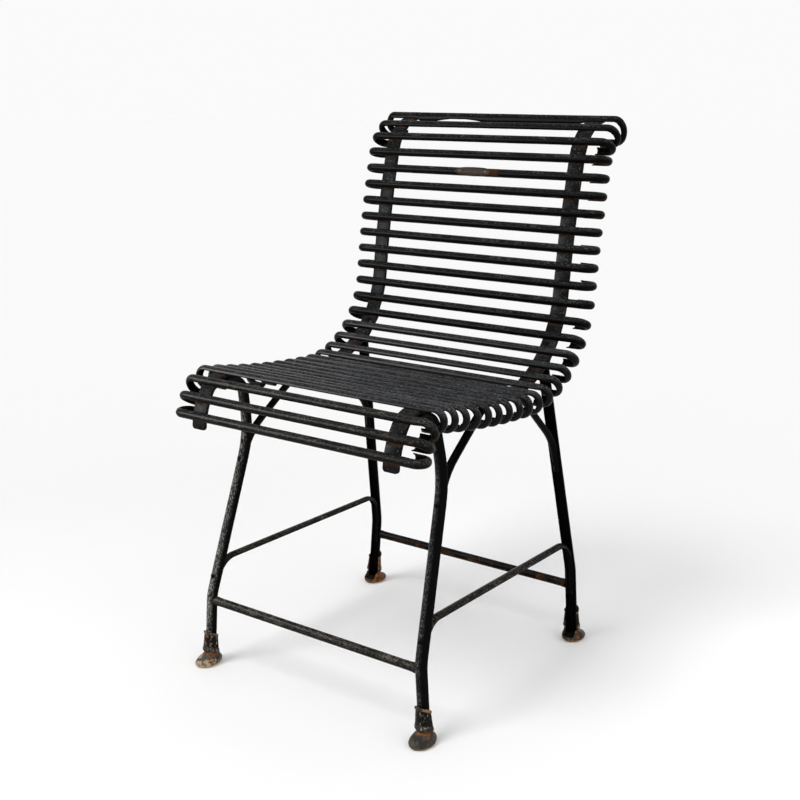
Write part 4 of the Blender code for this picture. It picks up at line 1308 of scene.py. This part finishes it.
class GARDEN_OT_stage(bpy.types.Operator):
    """Lay the pale floor and set the light and the camera"""

    bl_idname = "garden_chair.stage"
    bl_label = "Stage"

    def execute(self, context):
        self.floor()
        self.sky(context.scene)
        self.sun("key_sun", *KEY_SUN)
        self.sun("fill_sun", *FILL_SUN)
        self.softbox("side_softbox", *SIDE_SOFTBOX)
        self.camera(context.scene)
        context.scene.view_settings.view_transform = "Standard"
        return {"FINISHED"}

    def floor(self):
        deselect()
        bpy.ops.mesh.primitive_plane_add(size=60, location=(0, 0, 0))
        floor = bpy.context.object
        floor.name = "floor"
        n = Nodes("pale_floor")
        away = n.add("ShaderNodeVectorMath", operation="DISTANCE")
        n.feed(away.inputs[0], n.place)
        away.inputs[1].default_value = FLOOR_PLACE
        # Painted light falloff: the floor is paler near the camera and darker far off.
        near, far = ((tone,) * 3 for tone in FLOOR_FALLOFF_TONES)
        tone = n.mix(n.between(away.outputs["Value"], *FLOOR_FALLOFF_SPAN), near, far)
        floor.data.materials.append(n.surface(tone, 1.0, 0.0))

    def sky(self, scene):
        """Even light from all round, seen as near white by the camera and in reflections."""
        world = scene.world or bpy.data.worlds.new("studio")
        scene.world = world
        world.use_nodes = True
        tree = world.node_tree
        tree.nodes.clear()
        path = tree.nodes.new("ShaderNodeLightPath")
        seen = path.outputs["Is Camera Ray"]
        for ray in ("Is Glossy Ray", "Is Transmission Ray"):
            either = tree.nodes.new("ShaderNodeMath")
            either.operation = "MAXIMUM"
            tree.links.new(seen, either.inputs[0])
            tree.links.new(path.outputs[ray], either.inputs[1])
            seen = either.outputs[0]
        mix = tree.nodes.new("ShaderNodeMixShader")
        out = tree.nodes.new("ShaderNodeOutputWorld")
        tree.links.new(seen, mix.inputs[0])
        for i, (tone, strength) in enumerate(((1.0, SKY_LIGHT), (BACKDROP_TONE, 1.0))):
            light = tree.nodes.new("ShaderNodeBackground")
            light.inputs["Color"].default_value = (tone, tone, tone, 1)
            light.inputs["Strength"].default_value = strength
            tree.links.new(light.outputs[0], mix.inputs[1 + i])
        tree.links.new(mix.outputs[0], out.inputs[0])

    def lamp(self, name, kind, strength, place, target):
        """Lamp at a place, turned to shine at a target."""
        light = bpy.data.lights.new(name, kind)
        light.energy = strength
        holder = bpy.data.objects.new(name, light)
        bpy.context.scene.collection.objects.link(holder)
        holder.rotation_euler = (Vector(place) - target).to_track_quat("Z", "Y").to_euler()
        return holder

    def sun(self, name, strength, angle, source):
        holder = self.lamp(name, "SUN", strength, source, Vector())
        holder.data.angle = math.radians(angle)

    def softbox(self, name, power, size, place):
        """Round softbox that shows only as a sheen on the bars."""
        holder = self.lamp(name, "AREA", power, place, SOFTBOX_TARGET)
        holder.data.shape = "DISK"
        holder.data.size = size
        holder.location = place
        holder.visible_camera = False
        holder.visible_diffuse = False

    def camera(self, scene):
        ahead = (CAMERA_TARGET - CAMERA_EYE).normalized()
        level = ahead.cross(Vector((0, 0, 1))).normalized()
        up = level.cross(ahead)
        roll = math.radians(CAMERA_ROLL)
        right = level * math.cos(roll) + up * math.sin(roll)
        above = up * math.cos(roll) - level * math.sin(roll)
        camera = bpy.data.objects.new("camera", bpy.data.cameras.new("camera"))
        scene.collection.objects.link(camera)
        camera.data.lens = CAMERA_LENS
        camera.data.sensor_width = CAMERA_SENSOR
        turn = Matrix((right, above, -ahead)).transposed().to_4x4()
        camera.matrix_world = Matrix.Translation(CAMERA_EYE) @ turn
        scene.camera = camera


OPERATORS = (GARDEN_OT_slats, GARDEN_OT_straps, GARDEN_OT_legs, GARDEN_OT_braces, GARDEN_OT_stretchers,
             GARDEN_OT_hooves, GARDEN_OT_plate, GARDEN_OT_rivets, GARDEN_OT_stage)


class GARDEN_PT_chair(bpy.types.Panel):
    """Sizes, colours and pieces of the chair"""

    bl_idname = "GARDEN_PT_chair"
    bl_label = "Garden Chair"
    bl_space_type = "VIEW_3D"
    bl_region_type = "UI"
    bl_category = "Garden Chair"

    def draw(self, context):
        for group in (context.scene.garden_chair_sizes, context.scene.garden_chair_finish):
            box = self.layout.box()
            for key in group.__annotations__:
                box.prop(group, key)
        for operator in OPERATORS:
            self.layout.operator(operator.bl_idname)


CLASSES = (ChairSizes, ChairFinish, *OPERATORS, GARDEN_PT_chair)


def register():
    for cls in CLASSES:
        bpy.utils.register_class(cls)
    bpy.types.Scene.garden_chair_sizes = PointerProperty(type=ChairSizes)
    bpy.types.Scene.garden_chair_finish = PointerProperty(type=ChairFinish)


def unregister():
    del bpy.types.Scene.garden_chair_finish
    del bpy.types.Scene.garden_chair_sizes
    for cls in reversed(CLASSES):
        bpy.utils.unregister_class(cls)


def main():
    register()
    bpy.ops.garden_chair.stage()
    bpy.ops.garden_chair.slats()
    bpy.ops.garden_chair.straps()
    bpy.ops.garden_chair.legs()
    bpy.ops.garden_chair.braces()
    bpy.ops.garden_chair.stretchers()
    bpy.ops.garden_chair.hooves()
    bpy.ops.garden_chair.plate()
    bpy.ops.garden_chair.rivets()


if __name__ == "__main__":
    main()
